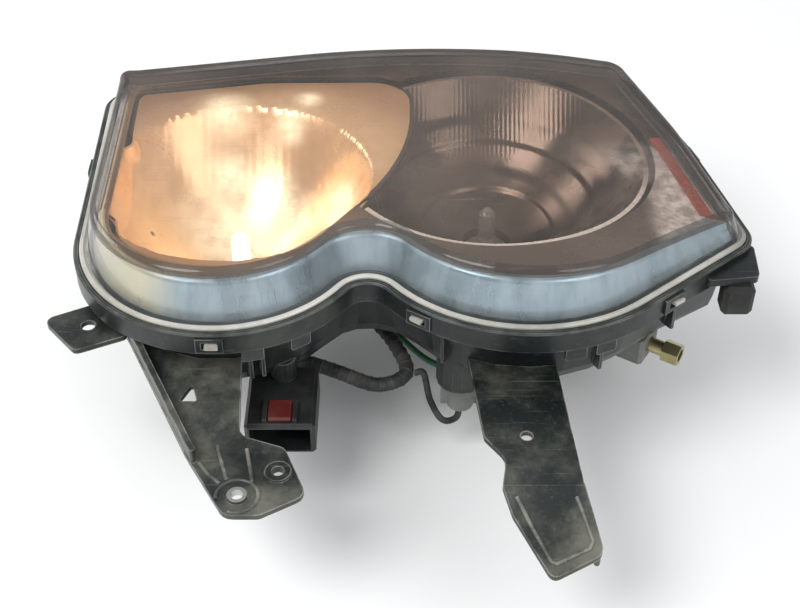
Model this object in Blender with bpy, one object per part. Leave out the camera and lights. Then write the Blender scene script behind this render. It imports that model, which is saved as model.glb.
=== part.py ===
"""Car headlight assembly for the left side of a car, lens up.

Design axes: +X to the outer side of the car, +Y up on the car, +Z forwards, out of the lens.
Design heights start at the plane where the lens lip meets the housing flange. The frame empty then
moves everything so that the rear face of the inner foot, which is bolted to the car, is at the origin.
"""

import math

import bmesh
import bpy
import numpy as np
from mathutils import Matrix, Vector

for old in list(bpy.data.objects):
    bpy.data.objects.remove(old, do_unlink=True)

# Gap kept between pieces that touch.
GAP = 0.0003

# Sides of turned shapes.
ROUND_SIDES = 20
SMALL_SIDES = 16
HEX_SIDES = 6

# Outline of the lens at its lip, as the circles that it runs round: centre x, centre y, radius.
INNER_LOBE = (-0.107, 0.064, 0.0835)
OUTER_LOBE = (0.0762, 0.0813, 0.0999)
VALLEY_RADIUS = 0.0232
OUTER_CORNER = (0.195, 0.064, 0.012)
OUTER_SIDE_X = 0.196
OUTER_SIDE_Y = 0.083
OUTER_SIDE_RADIUS = 0.250
OUTER_TOP_CORNER = (0.142, 0.221, 0.020)
TOP_CROWN_X = 0.025
TOP_CROWN_Y = 0.252
TOP_CROWN_RADIUS = 0.500
INNER_TOP_CORNER = (-0.184, 0.208, 0.012)
ARC_STEP = 0.026
ARC_ANGLE = math.radians(24)
LINE_STEP = 0.050
STRAIGHT_BEND = 100.0
SAME_POINT = 1e-5
MIDDLE = np.array((0.0, 0.105))

# Front of the lens: raked back towards its top and swept back towards the outer side.
FACE_HEIGHT = 0.0355
FACE_RAKE = 0.04
FACE_SWEEP = 0.75
SWEEP_START_X = 0.070
FACE_RINGS = (0.42, 0.76)
LENS_WALL = 0.0028
LENS_DRAFT = 0.005
LENS_FILLET = 0.005
LIP_WIDTH = 0.0045
LIP_HEIGHT = 0.0028
TONGUE_DEPTH = 0.006

# Housing shell.
FLANGE_WIDTH = 0.0075
FLANGE_DEPTH = 0.0135
FLANGE_FALL = 0.0005
HOUSING_WALL = 0.0030
HOUSING_STEP_IN = 0.0035
HOUSING_DRAFT = 0.006
HOUSING_SIDE_DEPTH = 0.047
HOUSING_ROUNDING = 0.008
HOUSING_BACK_DEPTH = 0.066
# Rings over the domed back: share of the outline, share of the back's depth.
BACK_RINGS = ((0.90, 0.91), (0.55, 0.97))
GROOVE_CLEARANCE = 0.0005
GROOVE_DEPTH = 0.008
CHANNEL_WALL = 0.0038

# Reflector bowls: centre x, centre y, radius.
INNER_BOWL = (-0.104, 0.101, 0.087)
OUTER_BOWL = (0.058, 0.128, 0.098)
BOWL_WALL = 0.0022
BOWL_APART = 0.0006
BOWL_VERTEX_Z = -0.058
BOWL_RIM_BELOW_FACE = 0.014
BOWL_RIM_WIDTH = 0.003
BOWL_SIDES = 32
BOWL_STEP = 0.0022
BOWL_STEP_SHARES = (0.46, 0.74)
NECK_BORE = 0.0165
NECK_WALL = 0.004
NECK_END_Z = -0.074

# Bezel inside the lens.
BEZEL_WALL = 0.0016
BEZEL_CLEARANCE = 0.0010
BEZEL_BELOW_FACE = 0.010
BOWL_SWING = 0.004

# Rear drums of the housing, round the bulbs, and their rubber boots.
DRUM_RADIUS = 0.0505
DRUM_TAPER = 0.004
DRUM_PROUD = 0.020
DRUM_END_Z = -HOUSING_BACK_DEPTH - DRUM_PROUD
DRUM_SIDES = 32
COLLAR_STEP = 0.006
COLLAR_RADIUS = DRUM_RADIUS - COLLAR_STEP
COLLAR_HEIGHT = 0.008
BULB_OPENING = COLLAR_RADIUS - HOUSING_WALL
BOOT_WALL = 0.002
BOOT_MOUTH = 0.021
BOOT_HEIGHT = 0.0175

# Main bulbs.
BULB_FLANGE = 0.0195
BULB_FLANGE_HEIGHT = 0.004
PILOT_CLEARANCE = 0.0005
PILOT_HEIGHT = 0.012
SEAL_SECTION = 0.0016
BULB_BODY_RADIUS = 0.0145
BULB_BODY_LENGTH = 0.020
PLUG_SIZE = (0.022, 0.018, 0.016)
PLUG_BEVEL = 0.0015
GLASS_RADIUS = 0.006
GLASS_LENGTH = 0.034
# Rounded end of a glass: shares of its radius across, and down from its top.
GLASS_DOME = ((0.50, 0.13), (0.87, 0.50), (1.0, 1.0))

# Aiming: pivots, push rod and drive.
PIVOT_Y = 0.100
PIVOT_Z = -0.030
INNER_PIVOT_X = -0.163
OUTER_PIVOT_X = 0.120
PIVOT_BALL = 0.005
SOCKET_CLEARANCE = 0.0004
STUD_RADIUS = 0.0025
STUD_FLANGE = 0.006
STUD_FLANGE_HEIGHT = 0.0036
BALL_STEPS = 6
SOCKET_SIZE = 0.014
SOCKET_BEVEL = 0.001
ARM_START = 0.60
ROD_X = 0.150
ROD_Y = 0.058
ROD_BALL_Z = -0.028
ROD_RADIUS = 0.0024
BOSS_RADIUS = 0.008
BOSS_PROUD = 0.0008
BOSS_END_Z = -HOUSING_BACK_DEPTH - BOSS_PROUD
ROD_REACH = 0.0152
ROD_RUNOUT = 0.003
ROD_END_Z = BOSS_END_Z - ROD_REACH
CASE_SIZE = 0.026
CASE_HEIGHT = 0.022
CASE_BEVEL = 0.002
CASE_STUD_RADIUS = 0.0045
CASE_STUD_HEAD = 0.0043
CASE_STUD_LENGTH = 0.013
DRIVE_ANGLE = math.radians(-32)
DRIVE_BELOW_SEAT = 0.0117
DRIVE_Z = BOSS_END_Z - DRIVE_BELOW_SEAT
DRIVE_RADIUS = 0.005
DRIVE_START = 0.0055
DRIVE_HEX_RADIUS = 0.0075
DRIVE_HEX_LENGTH = 0.011
DRIVE_REACH = 0.034
DRIVE_SOCKET_RADIUS = 0.0046
DRIVE_SOCKET_DEPTH = 0.009

# Small lamps behind the outer lobe: centre x, centre y.
TURN_LAMP = (0.038, 0.018)
MARKER_LAMP = (0.165, 0.108)
LAMP_BOSS_RADIUS = 0.0155
LAMP_BOSS_PROUD = 0.010
LAMP_BOSS_END_Z = -HOUSING_BACK_DEPTH - LAMP_BOSS_PROUD
LAMP_BORE = 0.0095
LAMP_FLANGE = 0.0125
LAMP_GASKET = 0.0016
LAMP_BODY_RADIUS = 0.0085
LAMP_BODY_LENGTH = 0.020
LAMP_PILOT_HEIGHT = 0.0102
LAMP_GLASS_RADIUS = 0.005
LAMP_GLASS_TOP_Z = -0.034
LAMP_GLASS_DOME = ((0.70, 0.30), (1.0, 1.0))

# Mounting legs.
PLATE = 0.0035
INNER_LEG_TOP_Z = -0.028
INNER_FOOT_Z = -0.048
INNER_FOOT_START_Y = -0.072
INNER_FLANGE_HEIGHT = 0.010
FOOT_BUSH_HOLE = (-0.0886, -0.1040)
FOOT_BOSS_HOLE = (-0.0674, -0.0870)
BUSH_RADIUS = 0.0056
BUSH_RISE = 0.0015
BOLT_HOLE = 0.0035
TAB_Z = -0.022
TAB_HOLE = (-0.1845, 0.0060)
TAB_HOLE_RADIUS = 0.0043
OUTER_LEG_Z = -0.040
OUTER_LEG_HOLE = (0.071, -0.0666)
OUTER_FOOT_START_Y = -0.103
OUTER_FOOT_SLOPE = math.tan(math.radians(30))
TURNED_EDGE = 0.012

# Connector under the inner lobe: lowest corner and size.
CONNECTOR_X = -0.092
CONNECTOR_Y = -0.038
CONNECTOR_RISE = 0.004
CONNECTOR_TOP_Z = -HOUSING_BACK_DEPTH + CONNECTOR_RISE
CONNECTOR_BEVEL = 0.002
CONNECTOR_WIDTH = 0.042
CONNECTOR_LENGTH = 0.052
CONNECTOR_HEIGHT = 0.024
CONNECTOR_WALL = 0.003
CONNECTOR_MOUTH_DEPTH = 0.022
LOCK_SIZE = (0.014, 0.016, 0.003)
LOCK_INSET = 0.003
LOCK_BEVEL = 0.0008
RAIL_WIDTH = 0.0025

# Wires. A main bulb's wire stops short of its plug by the drop of the plug when the bowls tilt.
TRUNK_RADIUS = 0.0045
WIRE_RADIUS = 0.0021
WIRE_GAP = 0.0006
PLUG_DROP = 0.0018
ROUTE_SPACING = 5.0
BRANCH_SPREAD = 0.0026

# The point on the rear face of the inner foot that becomes the origin.
MOUNT_XY = (-0.0780, -0.0930)
MOUNT = Vector((*MOUNT_XY, INNER_FOOT_Z - PLATE))

FRAME = bpy.data.objects.new("lamp_frame", None)
bpy.context.scene.collection.objects.link(FRAME)
FRAME.location = -MOUNT


def material(name, color, roughness, metallic=0.0, transmission=0.0):
    made = bpy.data.materials.new(name)
    made.use_nodes = True
    shader = made.node_tree.nodes["Principled BSDF"]
    shader.inputs["Base Color"].default_value = (*color, 1.0)
    shader.inputs["Roughness"].default_value = roughness
    shader.inputs["Metallic"].default_value = metallic
    shader.inputs["Transmission Weight"].default_value = transmission
    return made


BLACK_PLASTIC = material("black_plastic", (0.030, 0.034, 0.032), 0.55)
CLEAR_LENS = material("clear_lens", (0.62, 0.50, 0.40), 0.08, 0.0, 0.85)
RUBBER = material("black_rubber", (0.018, 0.018, 0.018), 0.75)
BEZEL_SILVER = material("bezel_silver", (0.55, 0.60, 0.62), 0.35, 0.6)
GOLD_MIRROR = material("lit_mirror", (0.85, 0.60, 0.32), 0.15, 1.0)
DARK_MIRROR = material("dark_mirror", (0.42, 0.33, 0.27), 0.15, 1.0)
AMBER_RED = material("side_red", (0.62, 0.13, 0.06), 0.20, 0.0, 0.3)
ZINC_GOLD = material("plated_gold", (0.62, 0.55, 0.22), 0.35, 1.0)
STEEL = material("steel", (0.45, 0.45, 0.44), 0.35, 1.0)
BULB_GLASS = material("bulb_glass", (0.95, 0.92, 0.85), 0.03, 0.0, 0.95)
LOCK_RED = material("lock_red", (0.28, 0.03, 0.02), 0.45)
GREY_PLASTIC = material("grey_plastic", (0.20, 0.20, 0.19), 0.50)
TAPE_BLACK = material("tape_black", (0.022, 0.022, 0.022), 0.60)


def belt(circles, line_step=LINE_STEP):
    """Points, outward normals and bend radii of a closed outline round the circles, anticlockwise.

    A negative radius makes the outline bend inwards round that circle. A straight run gets a very large bend.
    """
    count = len(circles)
    normals = []
    for index, (x, y, radius) in enumerate(circles):
        next_x, next_y, next_radius = circles[(index + 1) % count]
        distance = math.hypot(next_x - x, next_y - y)
        lean = math.acos(max(-1.0, min(1.0, (radius - next_radius) / distance)))
        normals.append(math.atan2(next_y - y, next_x - x) - lean)
    points = []
    directions = []
    bends = []
    for index, (x, y, radius) in enumerate(circles):
        start = normals[index - 1]
        turn = (normals[index] - start) % math.tau
        if radius < 0:
            turn -= math.tau
        turn = 0.0 if math.tau - abs(turn) < SAME_POINT else turn
        steps = max(1, math.ceil(abs(turn * radius) / ARC_STEP), math.ceil(abs(turn) / ARC_ANGLE))
        for step in range(steps + 1):
            angle = start + turn * step / steps
            direction = np.array((math.cos(angle), math.sin(angle)))
            points.append(np.array((x, y)) + radius * direction)
            directions.append(direction)
            bends.append(radius if radius > 0 else STRAIGHT_BEND)
        next_x, next_y, next_radius = circles[(index + 1) % count]
        direction = directions[-1]
        far = np.array((next_x, next_y)) + next_radius * direction
        pieces = max(1, math.ceil(np.linalg.norm(far - points[-1]) / line_step))
        near = points[-1]
        for piece in range(1, pieces):
            points.append(near + (far - near) * piece / pieces)
            directions.append(direction)
            bends.append(STRAIGHT_BEND)
    kept = [0]
    for index in range(1, len(points)):
        apart_last = np.linalg.norm(points[index] - points[kept[-1]])
        apart_first = np.linalg.norm(points[index] - points[0])
        if apart_last > SAME_POINT and apart_first > SAME_POINT:
            kept.append(index)
    return np.array(points)[kept], np.array(directions)[kept], np.array(bends)[kept]


def valley_circle():
    """The circle below the valley between the lobes, touching both of them."""
    (ax, ay, a_radius), (bx, by, b_radius) = INNER_LOBE, OUTER_LOBE
    a_reach = a_radius + VALLEY_RADIUS
    b_reach = b_radius + VALLEY_RADIUS
    span = math.hypot(bx - ax, by - ay)
    along = (a_reach ** 2 - b_reach ** 2 + span ** 2) / (2 * span)
    below = math.sqrt(a_reach ** 2 - along ** 2)
    ux, uy = (bx - ax) / span, (by - ay) / span
    return (ax + along * ux + below * uy, ay + along * uy - below * ux, -VALLEY_RADIUS)


LENS_CIRCLES = (
    INNER_LOBE,
    valley_circle(),
    OUTER_LOBE,
    OUTER_CORNER,
    (OUTER_SIDE_X - OUTER_SIDE_RADIUS, OUTER_SIDE_Y, OUTER_SIDE_RADIUS),
    OUTER_TOP_CORNER,
    (TOP_CROWN_X, TOP_CROWN_Y - TOP_CROWN_RADIUS, TOP_CROWN_RADIUS),
    INNER_TOP_CORNER,
)
OUTLINE, NORMALS, BENDS = belt(LENS_CIRCLES)


def moved_outline(offset):
    """The outline moved outwards. A move inwards slows down near the centre of a corner, so none folds over."""
    if offset >= 0:
        return OUTLINE + offset * NORMALS
    slowed = BENDS * np.tanh(offset / BENDS)
    return OUTLINE + slowed[:, None] * NORMALS


def face_height(x, y):
    sweep = np.maximum(0.0, x - SWEEP_START_X)
    return FACE_HEIGHT - FACE_RAKE * y - FACE_SWEEP * sweep ** 2


def below_face(depth):
    return lambda x, y: face_height(x, y) - depth


def level(height):
    """A height that is the same everywhere."""
    return lambda x, y: np.full(np.shape(x), height)


def above(surface, rise):
    return lambda x, y: surface(x, y) + rise


def raised(flat, height):
    """Flat points set at a height, or at a height that depends on x and y."""
    z = height(flat[:, 0], flat[:, 1]) if callable(height) else np.full(len(flat), height)
    return np.column_stack((flat, z))


def rim(offset, height):
    """A loop round the lens outline, moved out by offset."""
    return raised(moved_outline(offset), height)


def shrunk(offset, share, height):
    """The loop at that offset, drawn in towards the middle to a share of its size."""
    flat = MIDDLE + share * (moved_outline(offset) - MIDDLE)
    return raised(flat, height)


def middle_point(height):
    return raised(MIDDLE[None, :], height)[0]


def circle(x, y, radius, height, sides):
    angles = np.arange(sides) * math.tau / sides
    flat = np.column_stack((x + radius * np.cos(angles), y + radius * np.sin(angles)))
    return raised(flat, height)


def finish(name, mesh_data, look, smooth_angle=30):
    """A named object from a bmesh, parented to the frame, with its material and smooth shading."""
    bmesh.ops.recalc_face_normals(mesh_data, faces=mesh_data.faces)
    bmesh.ops.triangulate(mesh_data, faces=mesh_data.faces[:])
    mesh = bpy.data.meshes.new(name)
    mesh_data.to_mesh(mesh)
    mesh_data.free()
    made = bpy.data.objects.new(name, mesh)
    bpy.context.scene.collection.objects.link(made)
    made.parent = FRAME
    dress(made, look, smooth_angle)
    return made


def dress(made, look, smooth_angle=30):
    made.data.materials.clear()
    made.data.materials.append(look)
    made.data.shade_smooth()
    made.data.set_sharp_from_angle(angle=math.radians(smooth_angle))


def loft(name, chain, look=BLACK_PLASTIC, closed=False):
    """A solid over loops of equal length. A single point closes an end, and an open end gets a flat face."""
    made = bmesh.new()
    rows = []
    for item in chain:
        points = np.atleast_2d(np.asarray(item, float))
        rows.append([made.verts.new(point) for point in points])
    pairs = list(zip(rows, rows[1:]))
    if closed:
        pairs.append((rows[-1], rows[0]))
    for first, second in pairs:
        count = max(len(first), len(second))
        for index in range(count):
            after = (index + 1) % count
            if len(first) == 1:
                made.faces.new((first[0], second[after], second[index]))
            elif len(second) == 1:
                made.faces.new((first[index], first[after], second[0]))
            else:
                made.faces.new((first[index], first[after], second[after], second[index]))
    if not closed:
        for end in (rows[0], rows[-1]):
            if len(end) > 2:
                made.faces.new(end)
    return finish(name, made, look)


def turned(name, x, y, profile, look=BLACK_PLASTIC, sides=ROUND_SIDES, ring=False):
    """A solid turned about a line along Z through x, y. The profile is pairs of radius and height."""
    chain = [(x, y, z) if radius == 0 else circle(x, y, radius, z, sides) for radius, z in profile]
    return loft(name, chain, look, closed=ring)


def block(name, low, high, look=BLACK_PLASTIC, bevel=0.0):
    """A box between two corners, with its edges rounded."""
    low, high = Vector(low), Vector(high)
    made = bmesh.new()
    bmesh.ops.create_cube(made, size=1.0)
    size = high - low
    for vert in made.verts:
        vert.co = Vector(a * b for a, b in zip(vert.co, size)) + (low + high) / 2
    if bevel:
        bmesh.ops.bevel(made, geom=made.edges[:], offset=bevel, segments=1, affect="EDGES", profile=0.5)
    return finish(name, made, look)


def plate(name, circles, height, thickness, look=BLACK_PLASTIC, creases=()):
    """A plate of even thickness below height(x, y), over a rounded outline, with creases across given y."""
    flat, _, _ = belt(circles)
    made = bmesh.new()
    made.faces.new([made.verts.new((x, y, 0.0)) for x, y in flat])
    for crease in creases:
        bmesh.ops.bisect_plane(
            made, geom=made.verts[:] + made.edges[:] + made.faces[:],
            plane_co=(0, crease, 0), plane_no=(0, 1, 0),
        )
    walls = bmesh.ops.extrude_face_region(made, geom=made.faces[:])
    lower = {item for item in walls["geom"] if isinstance(item, bmesh.types.BMVert)}
    for vert in made.verts:
        z = float(height(np.array([vert.co.x]), np.array([vert.co.y]))[0])
        vert.co.z = z - thickness if vert in lower else z
    return finish(name, made, look)


def boolean(target, tool, operation, solver="EXACT"):
    """Joins the tool to the target or cuts it out, and removes the tool."""
    step = target.modifiers.new(operation.lower(), "BOOLEAN")
    step.operation = operation
    step.object = tool
    step.solver = solver
    bpy.context.view_layer.update()
    graph = bpy.context.evaluated_depsgraph_get()
    result = bpy.data.meshes.new_from_object(target.evaluated_get(graph))
    target.modifiers.clear()
    flat = bmesh.new()
    flat.from_mesh(result)
    bmesh.ops.triangulate(flat, faces=flat.faces[:])
    flat.to_mesh(result)
    flat.free()
    target.data = result
    bpy.data.objects.remove(tool, do_unlink=True)
    return target


def join(target, *tools):
    for tool in tools:
        boolean(target, tool, "UNION")
    return target


def cut(target, *tools):
    for tool in tools:
        boolean(target, tool, "DIFFERENCE")
    return target


def place(made, matrix):
    """Moves a shape's points by a matrix."""
    made.data.transform(matrix)
    return made


def hole(x, y, radius, low, high, sides=SMALL_SIDES):
    return turned("hole", x, y, ((radius, low), (radius, high)), sides=sides)


def housing_form(grow=0.0):
    """The filled outer form of the housing shell, grown for pieces that seat against it."""
    step = -HOUSING_STEP_IN + grow
    side = step - HOUSING_DRAFT
    back = side - HOUSING_ROUNDING / 2
    chain = [
        rim(FLANGE_WIDTH + grow, grow),
        rim(FLANGE_WIDTH + grow, -FLANGE_DEPTH - grow),
        rim(step, -FLANGE_DEPTH - grow - FLANGE_FALL),
        rim(side, -HOUSING_SIDE_DEPTH),
        rim(back, -HOUSING_SIDE_DEPTH - HOUSING_ROUNDING - grow),
    ]
    chain += [shrunk(back, share, -HOUSING_BACK_DEPTH * depth - grow) for share, depth in BACK_RINGS]
    chain.append(middle_point(-HOUSING_BACK_DEPTH - grow))
    return loft("housing_form", chain)


def housing_cavity():
    """The inner space of the shell, one wall inside its outer form."""
    inner = -CHANNEL_WALL - LENS_WALL - GROOVE_CLEARANCE
    side = -HOUSING_STEP_IN - HOUSING_DRAFT - HOUSING_WALL
    back = side - HOUSING_ROUNDING / 2
    chain = [
        rim(inner, HOUSING_WALL),
        rim(inner, -FLANGE_DEPTH),
        rim(side, -HOUSING_SIDE_DEPTH),
        rim(back, -HOUSING_SIDE_DEPTH - HOUSING_ROUNDING + HOUSING_WALL),
    ]
    chain += [shrunk(back, share, -HOUSING_BACK_DEPTH * depth + HOUSING_WALL) for share, depth in BACK_RINGS]
    chain.append(middle_point(-HOUSING_BACK_DEPTH + HOUSING_WALL))
    return loft("cavity", chain)


def lens_groove():
    inner = -LENS_WALL - GROOVE_CLEARANCE
    return loft("groove", (
        rim(GROOVE_CLEARANCE, HOUSING_WALL),
        rim(GROOVE_CLEARANCE, -GROOVE_DEPTH),
        rim(inner, -GROOVE_DEPTH),
        rim(inner, HOUSING_WALL),
    ), closed=True)


def drum(bowl):
    """The rear drum round a bulb, with the collar that its boot grips."""
    x, y, _ = bowl
    start = -HOUSING_SIDE_DEPTH - HOUSING_WALL
    narrow = DRUM_RADIUS - DRUM_TAPER
    outer = turned("drum", x, y, (
        (DRUM_RADIUS, start), (narrow, DRUM_END_Z), (COLLAR_RADIUS, DRUM_END_Z),
        (COLLAR_RADIUS, DRUM_END_Z - COLLAR_HEIGHT),
    ), sides=DRUM_SIDES)
    inner = turned("drum_cavity", x, y, (
        (DRUM_RADIUS - HOUSING_WALL, start + HOUSING_WALL),
        (narrow - HOUSING_WALL, DRUM_END_Z + HOUSING_WALL),
        (BULB_OPENING, DRUM_END_Z + HOUSING_WALL),
        (BULB_OPENING, DRUM_END_Z - COLLAR_HEIGHT - HOUSING_WALL),
    ), sides=DRUM_SIDES)
    return outer, inner


def at_outline(near, offset, height):
    """A frame where the outline comes nearest to a point: local X along it, local Y outwards."""
    ahead = np.roll(OUTLINE, -1, axis=0) - OUTLINE
    reach = np.clip(((near - OUTLINE) * ahead).sum(1) / (ahead ** 2).sum(1), 0.0, 1.0)
    spots = OUTLINE + reach[:, None] * ahead
    index = int(np.argmin(np.linalg.norm(spots - near, axis=1)))
    normal = np.array((ahead[index][1], -ahead[index][0])) / np.linalg.norm(ahead[index])
    spot = spots[index] + offset * normal
    turn = math.atan2(normal[1], normal[0]) - math.pi / 2
    return Matrix.Translation((spot[0], spot[1], height)) @ Matrix.Rotation(turn, 4, "Z")


# Points near the outline where the clip loops and the wall ribs sit.
CLIP_SPOTS = (
    (-0.108, -0.022), (0.016, 0.002), (0.160, 0.010), (0.180, 0.150),
    (0.060, 0.245), (-0.120, 0.235), (-0.199, 0.140),
)
CLIP_WIDTH = 0.016
CLIP_DEPTH = 0.003
CLIP_HEIGHT = 0.010
CLIP_SLOT = 0.009
RIB_SPOTS = (
    (-0.085, -0.022), (-0.078, -0.020), (0.024, -0.002), (0.125, -0.014), (0.172, 0.026),
    (0.188, 0.120), (0.090, 0.243), (0.000, 0.250), (-0.150, 0.226), (-0.199, 0.105),
)
RIB_THICKNESS = 0.0022
RIB_DEPTH = 0.0065


def clip_loop(near):
    """A loop on the flange that a hook of the lens snaps into, and the slot through it."""
    frame = at_outline(near, FLANGE_WIDTH, -FLANGE_DEPTH / 2)
    half = CLIP_HEIGHT / 2
    loop = block("loop", (-CLIP_WIDTH / 2, -CLIP_DEPTH, -half), (CLIP_WIDTH / 2, CLIP_DEPTH, half))
    low = Vector((-CLIP_SLOT, -CLIP_DEPTH, -half)) / 2
    slot = block("slot", low, (-low.x, 2 * CLIP_DEPTH, -low.z))
    return place(loop, frame), place(slot, frame)


def wall_rib(near):
    frame = at_outline(near, -HOUSING_STEP_IN - HOUSING_DRAFT, 0.0)
    half = RIB_THICKNESS / 2
    rib = block("rib", (-half, -HOUSING_WALL / 2, -HOUSING_SIDE_DEPTH), (half, RIB_DEPTH, -FLANGE_DEPTH / 2))
    return place(rib, frame)


def rod_pad():
    half = CASE_SIZE / 2
    pad = block("pad", (-half, -half, BOSS_END_Z), (half, half, -HOUSING_SIDE_DEPTH))
    return place(pad, Matrix.Translation((ROD_X, ROD_Y, 0)) @ Matrix.Rotation(DRIVE_ANGLE, 4, "Z"))


def make_housing():
    """The moulded shell: flange with the lens groove, side wall, back, drums, bosses, clips and ribs."""
    shell = housing_form()
    shell.name = "housing"
    cavities = [housing_cavity()]
    for bowl in (INNER_BOWL, OUTER_BOWL):
        outer, inner = drum(bowl)
        join(shell, outer)
        cavities.append(inner)
    bosses = [(x, PIVOT_Y, BOSS_RADIUS, BOSS_END_Z) for x in (INNER_PIVOT_X, OUTER_PIVOT_X)]
    bosses += [(*spot, LAMP_BOSS_RADIUS, LAMP_BOSS_END_Z) for spot in (TURN_LAMP, MARKER_LAMP)]
    bosses.append((*CONNECTOR_SEAT, BOSS_RADIUS, CONNECTOR_TOP_Z + GAP))
    bosses += [(*spot, VENT_RADIUS, BOSS_END_Z) for spot in VENTS]
    for x, y, radius, end in bosses:
        join(shell, hole(x, y, radius, end, -HOUSING_SIDE_DEPTH))
    join(shell, rod_pad())
    for near in RIB_SPOTS:
        join(shell, wall_rib(near))
    cuts = []
    for near in CLIP_SPOTS:
        loop, slot = clip_loop(near)
        join(shell, loop)
        cuts.append(slot)
    cut(shell, *cavities, lens_groove(), *cuts)
    reach = -HOUSING_SIDE_DEPTH + HOUSING_WALL
    for x in (INNER_PIVOT_X, OUTER_PIVOT_X):
        cut(shell, hole(x, PIVOT_Y, STUD_RADIUS + GAP, BOSS_END_Z - HOUSING_WALL, reach))
    cut(shell, hole(ROD_X, ROD_Y, ROD_RADIUS + 2 * GAP, BOSS_END_Z - HOUSING_WALL, reach))
    for spot in (TURN_LAMP, MARKER_LAMP):
        cut(shell, hole(*spot, LAMP_BORE, LAMP_BOSS_END_Z - HOUSING_WALL, reach))
    dress(shell, BLACK_PLASTIC)


def shell_chain(offset, wall, draft, fillet, face_drop, foot):
    """Loops of a thin cap: inside from its middle down to the foot, then outside back up to the middle."""
    top_out = offset - draft
    top_in = top_out - wall
    rest = fillet / 3
    inside = [middle_point(below_face(face_drop + wall))]
    inside += [shrunk(top_in - fillet, share, below_face(face_drop + wall)) for share in FACE_RINGS]
    inside += [
        rim(top_in - fillet, below_face(face_drop + wall)),
        rim(top_in, below_face(face_drop + wall + fillet)),
        rim(offset - wall, LIP_HEIGHT),
        rim(offset - wall, foot),
    ]
    outside = [
        rim(top_out, below_face(face_drop + fillet)),
        rim(top_out - rest, below_face(face_drop + rest)),
        rim(top_out - fillet, below_face(face_drop)),
    ]
    outside += [shrunk(top_out - fillet, share, below_face(face_drop)) for share in reversed(FACE_RINGS)]
    outside.append(middle_point(below_face(face_drop)))
    return inside, outside


def make_lens():
    """The clear cap with its side wall, lip and the tongue that sits in the housing's groove."""
    inside, outside = shell_chain(0.0, LENS_WALL, LENS_DRAFT, LENS_FILLET, 0.0, -TONGUE_DEPTH)
    lip = [
        rim(0.0, -TONGUE_DEPTH),
        rim(0.0, GAP),
        rim(LIP_WIDTH, GAP),
        rim(LIP_WIDTH, LIP_HEIGHT),
        rim(0.0, LIP_HEIGHT + GAP),
    ]
    return loft("lens", inside + lip + outside, CLEAR_LENS)


def make_lens_seal():
    inner = -LENS_WALL
    top = -TONGUE_DEPTH - GAP
    low = -GROOVE_DEPTH + GAP
    section = (rim(0.0, top), rim(0.0, low), rim(inner, low), rim(inner, top))
    return loft("lens_seal", section, RUBBER, closed=True)


# The inner bowl is cut straight along the inner side, clear of the bezel band.
BOWL_TRIM_X = (
    INNER_LOBE[0] - INNER_LOBE[2] + LENS_WALL + LENS_DRAFT
    + BEZEL_CLEARANCE + BEZEL_WALL + BOWL_SWING
)


def inner_side_slab(edge_x):
    """A block that covers everything on the inner side of edge_x."""
    reach = 4 * FACE_HEIGHT
    return block("slab", (edge_x - reach, -reach, -reach), (edge_x, 2 * reach, reach))


def make_bezel():
    """The silver surround: a band inside the lens wall and a face with the openings for the bowls."""
    offset = -LENS_WALL - BEZEL_CLEARANCE
    inside, outside = shell_chain(offset, BEZEL_WALL, LENS_DRAFT, LENS_FILLET, BEZEL_BELOW_FACE, GAP)
    made = loft("bezel", inside + [rim(offset, GAP)] + outside)
    for x, y, radius in (INNER_BOWL, OUTER_BOWL):
        opening = radius + BOWL_RIM_WIDTH + BOWL_SWING
        cutter = hole(x, y, opening, -FACE_HEIGHT, 2 * FACE_HEIGHT, sides=2 * ROUND_SIDES)
        cut(made, cut(cutter, inner_side_slab(BOWL_TRIM_X)))
    dress(made, BEZEL_SILVER)


SIDE_STRIP_OFFSETS = (-0.020, -0.031)
SIDE_STRIP_RANGE_Y = (0.078, 0.160)
SIDE_STRIP_THICKNESS = 0.0025


def make_side_reflector():
    """The red strip on the bezel face along the outer side."""
    low_y, high_y = SIDE_STRIP_RANGE_Y
    edge_x = OUTER_SIDE_X - 2 * OUTER_CORNER[2]
    picked = [i for i, (x, y) in enumerate(OUTLINE) if x > edge_x and low_y < y < high_y]
    sections = []
    under = below_face(BEZEL_BELOW_FACE - GAP)
    over = below_face(BEZEL_BELOW_FACE - GAP - SIDE_STRIP_THICKNESS)
    for index in picked:
        near, far = (moved_outline(offset)[index] for offset in SIDE_STRIP_OFFSETS)
        pair = np.array((near, far))
        sections.append(np.vstack((raised(pair, under), raised(pair[::-1], over))))
    return loft("side_reflector", sections, AMBER_RED)


def bowl_height(bowl, share, angles, radius):
    """Heights on a bowl: a paraboloid whose rim follows the lens front."""
    x, y, _ = bowl
    rim_z = face_height(x + radius * np.cos(angles), y + radius * np.sin(angles)) - BOWL_RIM_BELOW_FACE
    return BOWL_VERTEX_Z + (rim_z - BOWL_VERTEX_Z) * share ** 2


def bowl_loop(bowl, share, widen=0.0, lift=0.0):
    x, y, radius = bowl
    angles = np.arange(BOWL_SIDES) * math.tau / BOWL_SIDES
    reach = radius * share + widen
    z = bowl_height(bowl, share, angles, radius) + lift
    return np.column_stack((x + reach * np.cos(angles), y + reach * np.sin(angles), z))


BOWL_SHARES = (0.30, 0.46, 0.60, 0.74, 0.88, 1.0)


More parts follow.
